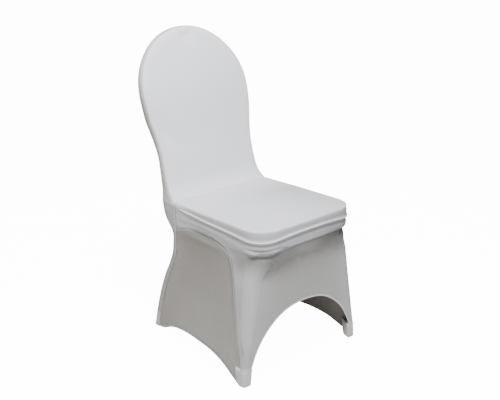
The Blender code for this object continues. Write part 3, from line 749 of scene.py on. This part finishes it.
def foot_corners(foot, height):
    """Plan corners of a left pocket at a height, from outer front over inner front round."""
    columns = FOOT_COLUMNS.split()[1:]
    front, rear, inner, outer = (smooth_read(foot, column, height) for column in columns)
    lean = POCKET_INNER_LEAN * height / POCKET_TOP
    taper = POCKET_TAPER * height / POCKET_TOP
    if foot is FRONT_FOOT:
        corners = ((taper - outer, front), (-inner, front),
                   (-inner - lean - POCKET_INNER_SLANT, rear), (-outer, rear))
    else:
        corners = ((-outer, front), (-inner - lean / 2, front),
                   (-inner, rear), (taper - outer, rear))
    return [Vector(corner) for corner in corners]


def pocket_mesh(foot, mirror):
    """A closed cup of doubled cloth for one foot of the chair."""
    top_radii, floor_radii = FRONT_RADII if foot is FRONT_FOOT else REAR_RADII
    rim = POCKET_TOP - STITCH_GAP
    lip = rim + POCKET_TUCK_HEIGHT
    inner = POCKET_TUCK + POCKET_LIP
    levels = [(0.0, 0.0022), (0.0007, 0.0008), (0.0022, 0.0), (0.010, 0.0), (0.020, 0.0),
              (0.030, 0.0), (0.040, 0.0), (rim - 0.0008, 0.0), (rim, POCKET_LIP),
              (rim, POCKET_TUCK), (lip, POCKET_TUCK), (lip, inner), (rim, inner), (0.030, inner),
              (0.010, inner), (POCKET_CLOTH, inner)]
    rings = []
    for height, inset in levels:
        size = [mix(low, high, height / POCKET_TOP) for low, high in zip(floor_radii, top_radii)]
        ring = inset_ring(rounded_ring(foot_corners(foot, height), size, height), inset)
        rings.append([mirrored(point) for point in ring] if mirror else ring)
    shape = bmesh.new()
    wrap_rings(shape, rings)
    return made_mesh("pocket", shape)


def made_mesh(name, shape):
    mesh = bpy.data.meshes.new(name)
    shape.to_mesh(mesh)
    shape.free()
    return mesh


def made_object(name, data):
    item = bpy.data.objects.new(name, data)
    bpy.context.scene.collection.objects.link(item)
    return item


# Smoothing and folds

def read_points(mesh, normals=False):
    """The places of a mesh's points, or their normals, one row each."""
    flat = np.zeros(len(mesh.vertices) * 3)
    if normals:
        mesh.vertex_normals.foreach_get("vector", flat)
    else:
        mesh.vertices.foreach_get("co", flat)
    return flat.reshape(-1, 3)


def write_points(mesh, points):
    mesh.vertices.foreach_set("co", points.ravel())
    mesh.update()


def keep_corners(skin):
    """Keep the corners of the open edges sharp, where the cloth meets the foot pockets."""
    sharp = skin.verts.layers.float.new("crease_vert")
    for vert in skin.verts:
        ways = [edge.other_vert(vert).co - vert.co for edge in vert.link_edges if edge.is_boundary]
        if len(ways) == 2 and ways[0].angle(ways[1]) < CORNER_TURN:
            vert[sharp] = 1.0


def smooth_skin():
    """Subdivide the skin smoothly, with its table points kept in their places."""
    skin = lay_out_skin()
    keep_corners(skin)
    cage = made_mesh("skin", skin)
    holder = made_object("skin", cage)
    smooth = holder.modifiers.new("smooth", "SUBSURF")
    smooth.levels = SMOOTH_LEVELS
    smooth.use_limit_surface = True
    target = read_points(cage)
    for _ in range(CAGE_CORRECTIONS):
        shown = holder.evaluated_get(bpy.context.evaluated_depsgraph_get())
        write_points(cage, read_points(cage) + target - read_points(shown.data)[:len(target)])
    shown = holder.evaluated_get(bpy.context.evaluated_depsgraph_get())
    fine = bpy.data.meshes.new_from_object(shown)
    bpy.data.objects.remove(holder)
    return fine


def edge_distances(fine):
    """How far each point lies from the nearest stitched seam and from the nearest open edge."""
    shape = bmesh.new()
    shape.from_mesh(fine)
    mark = shape.faces.layers.int["panel"]
    kinds = (lambda edge: len({face[mark] for face in edge.link_faces}) > 1,
             lambda edge: edge.is_boundary)
    found = []
    for belongs in kinds:
        samples = [edge.verts[0].co.lerp(edge.verts[1].co, n / EDGE_SAMPLES)
                   for edge in shape.edges if belongs(edge) for n in range(EDGE_SAMPLES + 1)]
        tree = KDTree(len(samples))
        for index, point in enumerate(samples):
            tree.insert(point, index)
        tree.balance()
        found.append(np.array([tree.find(vert.co)[2] for vert in shape.verts]))
    shape.free()
    return found


def edge_line(row, lift=0.0):
    """A line of points round the seat along one row of its edge."""
    return [seat_point(column, row) + Vector((0.0, 0.0, lift)) for column in range(1, SEAT_COLUMNS)]


def corner_line(inset, angles, *heights):
    """A line round the seat's front left corner, at angles from its side (0) to its front (90).

    Beyond these two angles the line runs on straight. Each angle has its height.
    """
    radius = SEAT_CORNER - inset
    line = []
    for degrees, height in zip(angles, heights):
        angle = radians(min(max(degrees, 0.0), 90.0))
        beyond = radians(degrees) - angle
        x = SEAT_CORNER - SEAT_HALF - radius * cos(angle) + max(beyond, 0.0) * radius
        y = SEAT_FRONT + SEAT_CORNER - radius * sin(angle) - min(beyond, 0.0) * radius
        line.append((x, y, height))
    return line


ROLL_ANGLES = (-8, 0, 17, 33, 49, 65, 80, 95)

# Ridges (depth above zero) and troughs on the cloth, each along a line of points. The shade is the
# painted shade along the line for the shadow it lies in, and below zero a painted highlight; the
# fade is the share of the line over which the fold dies away at each of its ends.
FOLDS = table(
    "depth width shade fade line",
    # the ridge round the foot of the cushion and the row below it, with painted highlights, and the
    # painted shade at the foot of the rail band
    (0.0, 0.0030, -0.25, 0.04, edge_line(RIDGE_ROW, 0.001)),
    (0.0004, 0.0024, -0.10, 0.04, edge_line(RIDGE_FOOT_ROW)),
    (-0.0006, 0.0035, 0.24, 0.25, edge_line(BAND_ROW, 0.0015)[20:-14]),
    # the roll that slips out from under the rail band at the front left corner: its upper crease,
    # its crest, the shadow side below it and the soft shade under that
    (-0.0026, 0.0028, 0.36, 0.12, corner_line(
        0.0052, (*ROLL_ANGLES, 110, 130), 0.4030, 0.4015, 0.4000, 0.3980, 0.3972, 0.3982, 0.4003,
        0.3995, 0.3970, 0.3930)),
    (0.0044, 0.0055, 0.0, 0.30, corner_line(
        0.0080, (*ROLL_ANGLES, 110), 0.3960, 0.3935, 0.3900, 0.3880, 0.3872, 0.3880, 0.3905,
        0.3920, 0.3930)),
    (-0.0030, 0.0052, 0.26, 0.20, corner_line(
        0.0115, (*ROLL_ANGLES, 115), 0.3900, 0.3855, 0.3790, 0.3768, 0.3760, 0.3768, 0.3795,
        0.3830, 0.3880)),
    (0.0, 0.0180, 0.26, 0.45, corner_line(
        0.0160, (-10, 20, 49, 75, 115), 0.3720, 0.3660, 0.3640, 0.3660, 0.3720)),
    (0.0, 0.0340, 0.22, 0.25, [
        (-0.1945, -0.0900, 0.352), (-0.1900, -0.1516, 0.350), (-0.1760, -0.1855, 0.343),
        (-0.1405, -0.2033, 0.343), (-0.0900, -0.1968, 0.343), (-0.0200, -0.1960, 0.350)]),
    # the hollow under the rail band at the front right corner, and the painted shade below it
    (-0.0050, 0.0090, 0.55, 0.50, [
        (0.100, -0.203, 0.380), (0.140, -0.206, 0.380), (0.164, -0.196, 0.380),
        (0.186, -0.165, 0.386)]),
    (0.0, 0.0340, 0.42, 0.45, [
        (0.030, -0.200, 0.374), (0.090, -0.203, 0.368), (0.140, -0.206, 0.364),
        (0.186, -0.165, 0.361)]),
    # painted light where the wall of the back turns under the seat, so that its tone doesn't change
    # sharply
    (0.0, 0.0140, -0.12, 0.30, [
        (-0.1890, 0.165, 0.428), (-0.1885, 0.200, 0.434), (-0.1870, 0.230, 0.440)]),
    # painted shade on the front leg above its pocket
    (0.0, 0.0300, 0.10, 0.45, [(-0.219, -0.180, 0.130), (-0.226, -0.176, 0.056)]),
    # soft pulls in the back and beside the feet
    (-0.0035, 0.0200, 0.0, 0.35, [
        (-0.182, 0.262, 0.708), (-0.164, 0.2454, 0.686), (-0.1442, 0.2354, 0.6479),
        (-0.1094, 0.225, 0.6066), (-0.0573, 0.2195, 0.5853)]),
    (-0.0012, 0.0040, 0.15, 0.35, [
        (-0.2207, -0.166, 0.138), (-0.2225, -0.175, 0.113), (-0.2245, -0.179, 0.088)]),
    (0.0010, 0.0035, 0.0, 0.35, [
        (-0.2200, -0.179, 0.133), (-0.2215, -0.183, 0.108), (-0.2237, -0.186, 0.082)]),
    (-0.0010, 0.0035, 0.15, 0.35, [
        (-0.2240, -0.159, 0.098), (-0.2250, -0.164, 0.082), (-0.2255, -0.170, 0.064)]),
)

# Dents and rises of the cloth beside its seams and its open edges
CLOTH_LINES = table(
    "beside at width depth",
    ("seam", 0.0, 0.0022, -0.0009),
    ("seam", 0.0060, 0.0030, 0.0004),
    ("edge", 0.0, 0.0030, 0.0005),
    ("edge", 0.0058, 0.0012, -0.0003),
)

# How much of the cloth's own tone the legs give back, and how far round them they are seen
LEG_SHARE = 0.30
FRONT_LEG_REACH = 0.065
REAR_LEG_REACH = 0.035
RAIL_FOOT = 0.391


def fold_reach(points, fold):
    """How strongly each point feels a fold: one on its line, nothing away from it."""
    line = np.array(fold.line, float)
    starts = line[:-1]
    runs = line[1:] - starts
    lengths = np.linalg.norm(runs, axis=1)
    before = np.concatenate([[0.0], np.cumsum(lengths)])
    best = np.full(len(points), 1e9)
    share = np.zeros(len(points))
    for start, run, length, passed in zip(starts, runs, lengths, before):
        t = np.clip((points - start) @ run / length ** 2, 0, 1)
        away = np.linalg.norm(points - start - t[:, None] * run, axis=1)
        nearer = away < best
        best[nearer] = away[nearer]
        share[nearer] = (passed + t[nearer] * length) / before[-1]
    ends = np.clip(np.minimum(share, 1 - share) / fold.fade, 0, 1)
    return np.sin(0.5 * np.pi * ends) * np.exp(-(best / fold.width) ** 2)


# Painted shade on the seat, more of it towards the right and on the seat's edge, and painted light
# on the low back
SEAT_PAINTED_SHADE = 0.08
RIGHT_PAINTED_SHADE = 0.16
EDGE_PAINTED_SHADE = 0.12
LOW_BACK_PAINTED_LIGHT = -0.08


def painted_seat_shade_and_back_light(points):
    """Painted shade on the seat and on its edge, more to the right, and painted light on the low
    back.
    """
    x, y, z = points[:, 0], points[:, 1], points[:, 2]
    forward = smooth_share((0.13 - y) / 0.12) * smooth_share((z - 0.380) / 0.01)
    rightwards = smooth_share((x + 0.10) / 0.30)
    below = smooth_share((0.4535 - z) / 0.004)
    low_back = smooth_share((0.74 - z) / 0.14) * smooth_share((z - 0.455) / 0.09)
    seat = SEAT_PAINTED_SHADE + RIGHT_PAINTED_SHADE * rightwards + EDGE_PAINTED_SHADE * below
    return forward * seat + LOW_BACK_PAINTED_LIGHT * low_back


def smooth_share(values):
    held = np.clip(values, 0, 1)
    return held * held * (3 - 2 * held)


def backing_and_painted_shade(points):
    """One on the chair; nothing where the cloth spans the air, partly as thin cloth and partly as
    painted shade.
    """
    x, y, z = np.abs(points[:, 0]), points[:, 1], points[:, 2]
    # Painted shade: the lighter tone ends right at the foot of the rail band, and on the front leg
    # it only comes back well below the band
    down = np.clip((RAIL_FOOT - z) / 0.008, 0, 1)
    inwards = np.minimum(x - 0.195 - 0.12 * (0.35 - z), 0.0)
    front_away = np.hypot(inwards, np.maximum(y + 0.165 + 0.05 * z, 0.0))
    front_leg = np.exp(-(front_away / FRONT_LEG_REACH) ** 2) * smooth_share((0.385 - z) / 0.10)
    rear_at = 0.150 + 0.55 * np.clip(0.28 - z, 0, 1)
    rear_away = np.hypot(np.minimum(x - 0.165, 0.0), np.minimum(y - rear_at, 0.0))
    rear_leg = np.exp(-(rear_away / REAR_LEG_REACH) ** 2)
    return 1 - down * (1 - LEG_SHARE * np.maximum(front_leg, rear_leg))


def shape_cloth(fine):
    """Give the smooth skin its seams, hems, folds and the slight unevenness of tight cloth."""
    points = read_points(fine)
    normals = read_points(fine, normals=True)
    away = dict(zip(("seam", "edge"), edge_distances(fine)))
    offset = np.zeros(len(points))
    for line in CLOTH_LINES:
        offset += line.depth * np.exp(-((away[line.beside] - line.at) / line.width) ** 2)
    # Painted shade and painted light, which the material reads as fold_shade
    shade = painted_seat_shade_and_back_light(points)
    for fold in FOLDS:
        reach = fold_reach(points, fold)
        offset += fold.depth * reach
        shade += fold.shade * reach
    write_points(fine, points + normals * offset[:, None])
    for name, values in (("seam_distance", away["seam"]), ("edge_distance", away["edge"]),
                         ("backing_and_painted_shade", backing_and_painted_shade(points)), ("fold_shade", shade)):
        layer = fine.attributes.new(name, "FLOAT", "POINT")
        layer.data.foreach_set("value", values.astype(np.float32))


# Pieces

def cloth_map(mesh):
    """A map in metres that runs with the cloth, for its knit."""
    points = read_points(mesh)
    low = np.clip((0.43 - points[:, 2]) / 0.03, 0, 1)
    across = points[:, 0] + np.sign(points[:, 0]) * (points[:, 1] + 0.20) * low
    up = points[:, 2] + points[:, 1] * (1 - low)
    layer = mesh.uv_layers.new(name="cloth")
    corners = np.zeros(len(mesh.loops), np.int32)
    mesh.loops.foreach_get("vertex_index", corners)
    layer.data.foreach_set("uv", np.stack([across[corners], up[corners]], 1).ravel())


def finish_piece(name, mesh, materials, node):
    points = read_points(mesh)
    cloth_map(mesh)
    points[:, 1] -= DEPTH_MIDDLE
    write_points(mesh, points)
    mesh.shade_smooth()
    for each in materials:
        mesh.materials.append(each)
    piece = made_object(name, mesh)
    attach(piece, "root")
    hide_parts(node)
    return piece


def cut_piece(fine, panel):
    """One panel's faces out of the skin, with the thickness of the cloth inwards."""
    shape = bmesh.new()
    shape.from_mesh(fine)
    mark = shape.faces.layers.int["panel"]
    others = [face for face in shape.faces if face[mark] != panel]
    bmesh.ops.delete(shape, geom=others, context="FACES")
    normals = {vert: vert.normal.copy() for vert in shape.verts}
    copy = bmesh.ops.duplicate(shape, geom=shape.faces[:])
    for vert, normal in normals.items():
        copy["vert_map"][vert].co = vert.co - normal * CLOTH
    inside = [item for item in copy["geom"] if isinstance(item, bmesh.types.BMFace)]
    bmesh.ops.reverse_faces(shape, faces=inside)
    for face in inside:
        face.material_index = 1
    rim = [edge for edge in shape.edges if edge.is_boundary]
    bmesh.ops.bridge_loops(shape, edges=rim)
    return made_mesh("panel", shape)


# Materials

# Where the cloth lies on the chair, and where it spans the air. The panels are one white knit: the
# cooler front and the darker, warmer back and sides are painted light and shade, and the tones
# where the cloth spans the air are partly painted shade
CLOTH_COLOURS_AND_PAINTED_SHADE = {
    "front_panel": ((0.715, 0.72, 0.745), (0.46, 0.455, 0.445)),
    "back_panel": ((0.56, 0.545, 0.525), (0.46, 0.445, 0.425)),
    "side_panel": ((0.50, 0.48, 0.455), (0.40, 0.38, 0.352)),
    "foot_pocket": ((0.69, 0.65, 0.63), (0.69, 0.65, 0.63)),
}
# Painted highlight along the rolled open edges
HEM_EDGE_COLOUR = (0.95, 0.94, 0.93)
HEM_EDGE_WIDTH = 0.0042
HEM_EDGE_SHARE = 0.9
# Painted shade: the wrong side of the knit is given a dark tone for the shade inside the cover
INSIDE_COLOUR = (0.335, 0.315, 0.29)
# Painted shade, darker and warmer towards the outlines where the cloth is seen at a grazing angle
GRAZING_TONE = (0.50, 0.47, 0.435)
GRAZING_POWER = 5.0
PANEL_ROUGHNESS = 0.82
POCKET_ROUGHNESS = 0.8
KNIT_PITCH = 0.0011
KNIT_HEIGHT = 0.00012
UNEVENNESS = 0.16
STITCH_TONE = 0.45
DARKEST_FOLD = 0.08

# Stitched lines: the seams, their second row and the hems
STITCH_LINES = table(
    "distance at width depth shade",
    ("seam_distance", 0.0, 0.0015, 0.0003, 0.18),
    ("seam_distance", 0.0040, 0.0007, 0.0002, 0.12),
    ("edge_distance", 0.0078, 0.0014, 0.0003, 0.30),
)


def add_node(tree, kind, inputs=None, **settings):
    """A node with its settings, and with its inputs joined to sockets or given plain values."""
    node = tree.nodes.new(kind)
    for name, value in settings.items():
        setattr(node, name, value)
    feed(tree, node, inputs or {})
    return node


def feed(tree, node, inputs):
    for name, value in inputs.items():
        if isinstance(value, bpy.types.NodeSocket):
            tree.links.new(value, node.inputs[name])
        else:
            node.inputs[name].default_value = value


def add_math(tree, operation, *values):
    """A math node on sockets or plain values, given back as its output socket."""
    return add_node(tree, "ShaderNodeMath", dict(enumerate(values)), operation=operation).outputs[0]


def add_mix(tree, factor, first, second, blend="MIX"):
    inputs = {"Factor": factor, "A": first, "B": second}
    node = add_node(tree, "ShaderNodeMix", inputs, data_type="RGBA", blend_type=blend)
    return node.outputs["Result"]


def add_attribute(tree, name):
    return add_node(tree, "ShaderNodeAttribute", attribute_name=name).outputs["Fac"]


def new_group(name, inputs, output):
    """An empty node group with named inputs and one named output, and the nodes of both."""
    tree = bpy.data.node_groups.new(name, "ShaderNodeTree")
    for label, kind in inputs:
        tree.interface.new_socket(label, in_out="INPUT", socket_type=kind)
    tree.interface.new_socket(output, in_out="OUTPUT", socket_type="NodeSocketFloat")
    return tree, add_node(tree, "NodeGroupInput").outputs, add_node(tree, "NodeGroupOutput")


def soft_line_group():
    """A soft line at one distance from an edge: one at the line, nothing away from it."""
    kinds = [(label, "NodeSocketFloat") for label in ("Distance", "Line at", "Width")]
    tree, given, leave = new_group("soft_line", kinds, "Line")
    away = add_math(tree, "SUBTRACT", given["Distance"], given["Line at"])
    share = add_math(tree, "DIVIDE", away, given["Width"])
    fall = add_math(tree, "MULTIPLY", add_math(tree, "MULTIPLY", share, share), -1.0)
    feed(tree, leave, {"Line": add_math(tree, "EXPONENT", fall)})
    return tree


def knit_group():
    """Height of a fine knit: upright wales crossed by rows, in metres along the cloth map."""
    kinds = (("Map", "NodeSocketVector"), ("Wale pitch", "NodeSocketFloat"))
    tree, given, leave = new_group("knit_height", kinds, "Height")
    parts = add_node(tree, "ShaderNodeSeparateXYZ", {"Vector": given["Map"]}).outputs
    waves = []
    for axis, slower in (("X", 1.0), ("Y", 1.4)):
        turns = add_math(tree, "DIVIDE", parts[axis], given["Wale pitch"])
        wave = add_math(tree, "SINE", add_math(tree, "MULTIPLY", turns, 2 * pi / slower))
        waves.append(add_math(tree, "MULTIPLY_ADD", wave, 0.25, 0.25))
    feed(tree, leave, {"Height": add_math(tree, "ADD", *waves)})
    return tree


def add_line(tree, soft_line, distance, at, width):
    """A soft line at a distance from the seams or the open edges, as an output socket."""
    inputs = {"Distance": add_attribute(tree, distance), "Line at": at, "Width": width}
    return add_node(tree, "ShaderNodeGroup", inputs, node_tree=soft_line).outputs["Line"]


def cloth_material(name, colour, thin_and_shaded_colour, roughness, groups, seams=True):
    """White stretch knit: soft sheen, fine knit, faint unevenness, seams and stitched hems, with
    painted light and shade.
    """
    soft_line, knit_height = groups
    material = plain_material(name, colour, roughness)
    tree = material.node_tree
    place = add_node(tree, "ShaderNodeTexCoord").outputs["Object"]
    cloud = add_node(tree, "ShaderNodeTexNoise", {"Vector": place, "Scale": 9.0, "Detail": 3.0})
    uneven = add_math(tree, "MULTIPLY_ADD", cloud.outputs["Fac"], UNEVENNESS, -UNEVENNESS / 2)
    # The backed tone against the thin one, which holds painted shade on the skirts and the sides
    backed_and_lit_share = add_math(tree, "ADD", add_attribute(tree, "backing_and_painted_shade"), uneven)
    tone = add_mix(tree, backed_and_lit_share, (*thin_and_shaded_colour, 1.0), (*colour, 1.0))
    cloth = add_node(tree, "ShaderNodeUVMap", uv_map="cloth").outputs["UV"]
    inputs = {"Map": cloth, "Wale pitch": KNIT_PITCH}
    knit = add_node(tree, "ShaderNodeGroup", inputs, node_tree=knit_height).outputs["Height"]
    height = add_math(tree, "MULTIPLY", knit, KNIT_HEIGHT)
    if seams:
        for line in STITCH_LINES:
            stitched = add_line(tree, soft_line, line.distance, line.at, line.width)
            height = add_math(tree, "MULTIPLY_ADD", stitched, -line.depth, height)
            darker = (*[value * STITCH_TONE for value in colour], 1.0)
            tone = add_mix(tree, add_math(tree, "MULTIPLY", stitched, line.shade), tone, darker)
        # painted highlight along the open edges
        hem = add_line(tree, soft_line, "edge_distance", 0.0, HEM_EDGE_WIDTH)
        tone = add_mix(tree, add_math(tree, "MULTIPLY", hem, HEM_EDGE_SHARE), tone,
                       (*HEM_EDGE_COLOUR, 1.0))
        # Painted shade and painted light from the folds, the seat and the low back
        kept = add_math(tree, "SUBTRACT", 1.0, add_attribute(tree, "fold_shade"))
        inputs = {"Vector": tone, "Scale": add_math(tree, "MAXIMUM", kept, DARKEST_FOLD)}
        tone = add_node(tree, "ShaderNodeVectorMath", inputs, operation="SCALE").outputs["Vector"]
    # painted shade towards the outlines
    facing = add_node(tree, "ShaderNodeLayerWeight", {"Blend": 0.5}).outputs["Facing"]
    grazing = add_math(tree, "POWER", facing, GRAZING_POWER)
    bump = add_node(tree, "ShaderNodeBump", {"Strength": 0.6, "Distance": 1.0, "Height": height})
    feed(tree, tree.nodes["Principled BSDF"], {
        "Base Color": add_mix(tree, grazing, tone, (*GRAZING_TONE, 1.0), "MULTIPLY"),
        "Specular IOR Level": 0.25,
        "Sheen Weight": 0.08,
        "Sheen Roughness": 0.5,
        "Normal": bump.outputs["Normal"],
    })
    return material


def plain_material(name, colour, roughness, more=None):
    """A material of one tone; more holds further inputs of its shader."""
    material = bpy.data.materials.new(name)
    material.use_nodes = True
    tree = material.node_tree
    inputs = {"Base Color": (*colour, 1.0), "Roughness": roughness, **(more or {})}
    feed(tree, tree.nodes["Principled BSDF"], inputs)
    return material


# Object


def build_cover():
    fine = smooth_skin()
    shape_cloth(fine)
    groups = (soft_line_group(), knit_group())
    panels = (
        ("cover_front", FRONT, "front_panel", "front_panel", (0.70, 1.30)),
        ("cover_back", BACK, "back_panel", "back_panel", (0.75, 1.20)),
        ("cover_side_left", LEFT, "side_panel", "side_panel_left", (0.46, 0.40)),
        ("cover_side_right", RIGHT, "side_panel", "side_panel_right", (0.46, 0.40)),
    )
    inside = plain_material("knit_inside", INSIDE_COLOUR, 0.95, {"Specular IOR Level": 0.1})
    made = {}
    for name, panel, slot, node, flat in panels:
        if slot not in made:
            tones = CLOTH_COLOURS_AND_PAINTED_SHADE[slot]
            made[slot] = cloth_material(slot + "_knit", *tones, PANEL_ROUGHNESS, groups)
        mesh = cut_piece(fine, panel)
        piece = finish_piece(name, mesh, (made[slot], inside), node)
    tones = CLOTH_COLOURS_AND_PAINTED_SHADE["foot_pocket"]
    patch = cloth_material("pocket_knit", *tones, POCKET_ROUGHNESS, groups, False)
    for place, foot in (("front", FRONT_FOOT), ("rear", REAR_FOOT)):
        for side, mirror in (("left", False), ("right", True)):
            mesh = pocket_mesh(foot, mirror)
            finish_piece("pocket_" + place + "_" + side, mesh, (patch,),
                         "foot_pocket_" + place + "_" + side)


# Setting

FLOOR_HALF = 20.0
FLOOR_COLOUR = (0.58, 0.565, 0.545)
FLOOR_ROUGHNESS = 0.9
SEEN_WHITE = 14.0
WORLD_COLOUR = (0.94, 0.965, 1.0)
WORLD_LIGHT = 0.24
LAMPS = table(
    "name place aim size power colour",
    ("overhead", (0.3, 0.4, 3.0), (0.0, 0.1, 0.4), 1.8, 20.0, (0.95, 0.97, 1.0)),
    ("key", (-0.55, -0.85, 2.50), (0.0, 0.15, 0.45), 0.8, 118.0, (0.97, 0.98, 1.0)),
    ("left", (-2.6, -1.2, 1.2), (0.0, 0.0, 0.3), 1.4, 5.0, (1.0, 0.92, 0.82)),
)


def build_setting():
    """A white sweep and world, which look brighter to the camera than the light that they give."""
    shape = bmesh.new()
    bmesh.ops.create_grid(shape, x_segments=1, y_segments=1, size=FLOOR_HALF)
    floor = made_object("floor", made_mesh("floor", shape))
    white = {"Emission Color": (1.0, 1.0, 1.0, 1.0)}
    material = plain_material("pale_floor", FLOOR_COLOUR, FLOOR_ROUGHNESS, white)
    tree = material.node_tree
    seen = add_node(tree, "ShaderNodeLightPath").outputs["Is Camera Ray"]
    strength = add_math(tree, "MULTIPLY", seen, SEEN_WHITE)
    feed(tree, tree.nodes["Principled BSDF"], {"Emission Strength": strength})
    floor.data.materials.append(material)
    world = bpy.data.worlds.new("studio")
    world.use_nodes = True
    tree = world.node_tree
    seen = add_node(tree, "ShaderNodeLightPath").outputs["Is Camera Ray"]
    strength = add_math(tree, "MULTIPLY_ADD", seen, SEEN_WHITE, WORLD_LIGHT)
    feed(tree, tree.nodes["Background"], {"Color": (*WORLD_COLOUR, 1.0), "Strength": strength})
    bpy.context.scene.world = world
    for lamp in LAMPS:
        light = bpy.data.lights.new(lamp.name, "AREA")
        light.shape = "DISK"
        light.size = lamp.size
        light.energy = lamp.power
        light.color = lamp.colour
        holder = made_object(lamp.name, light)
        holder.location = lamp.place
        sight = Vector(lamp.aim) - Vector(lamp.place)
        holder.rotation_euler = sight.to_track_quat("-Z", "Y").to_euler()


CAMERA_AZIMUTH = radians(-42.2306)
CAMERA_ELEVATION = radians(18.8007)
CAMERA_ROLL = radians(-0.516)
CAMERA_PLACE = (-1.56945, -1.73789 - DEPTH_MIDDLE, 1.24986)
CAMERA_LENS = 60.07
CAMERA_SENSOR = 36.0
CAMERA_SHIFT = (-0.01927, 0.00327)


def place_camera():
    """The camera that the photo was taken with, as the outline fit gives it."""
    data = bpy.data.cameras.new("photo_camera")
    data.lens = CAMERA_LENS
    data.sensor_width = CAMERA_SENSOR
    data.shift_x, data.shift_y = CAMERA_SHIFT
    camera = made_object("photo_camera", data)
    camera.location = CAMERA_PLACE
    turns = (CAMERA_AZIMUTH, "Z"), (QUARTER - CAMERA_ELEVATION, "X"), (CAMERA_ROLL, "Z")
    swing, tip, roll = (Matrix.Rotation(angle, 3, axis) for angle, axis in turns)
    camera.rotation_euler = (swing @ tip @ roll).to_euler()
    bpy.context.scene.camera = camera


build_cover()
build_setting()
place_camera()
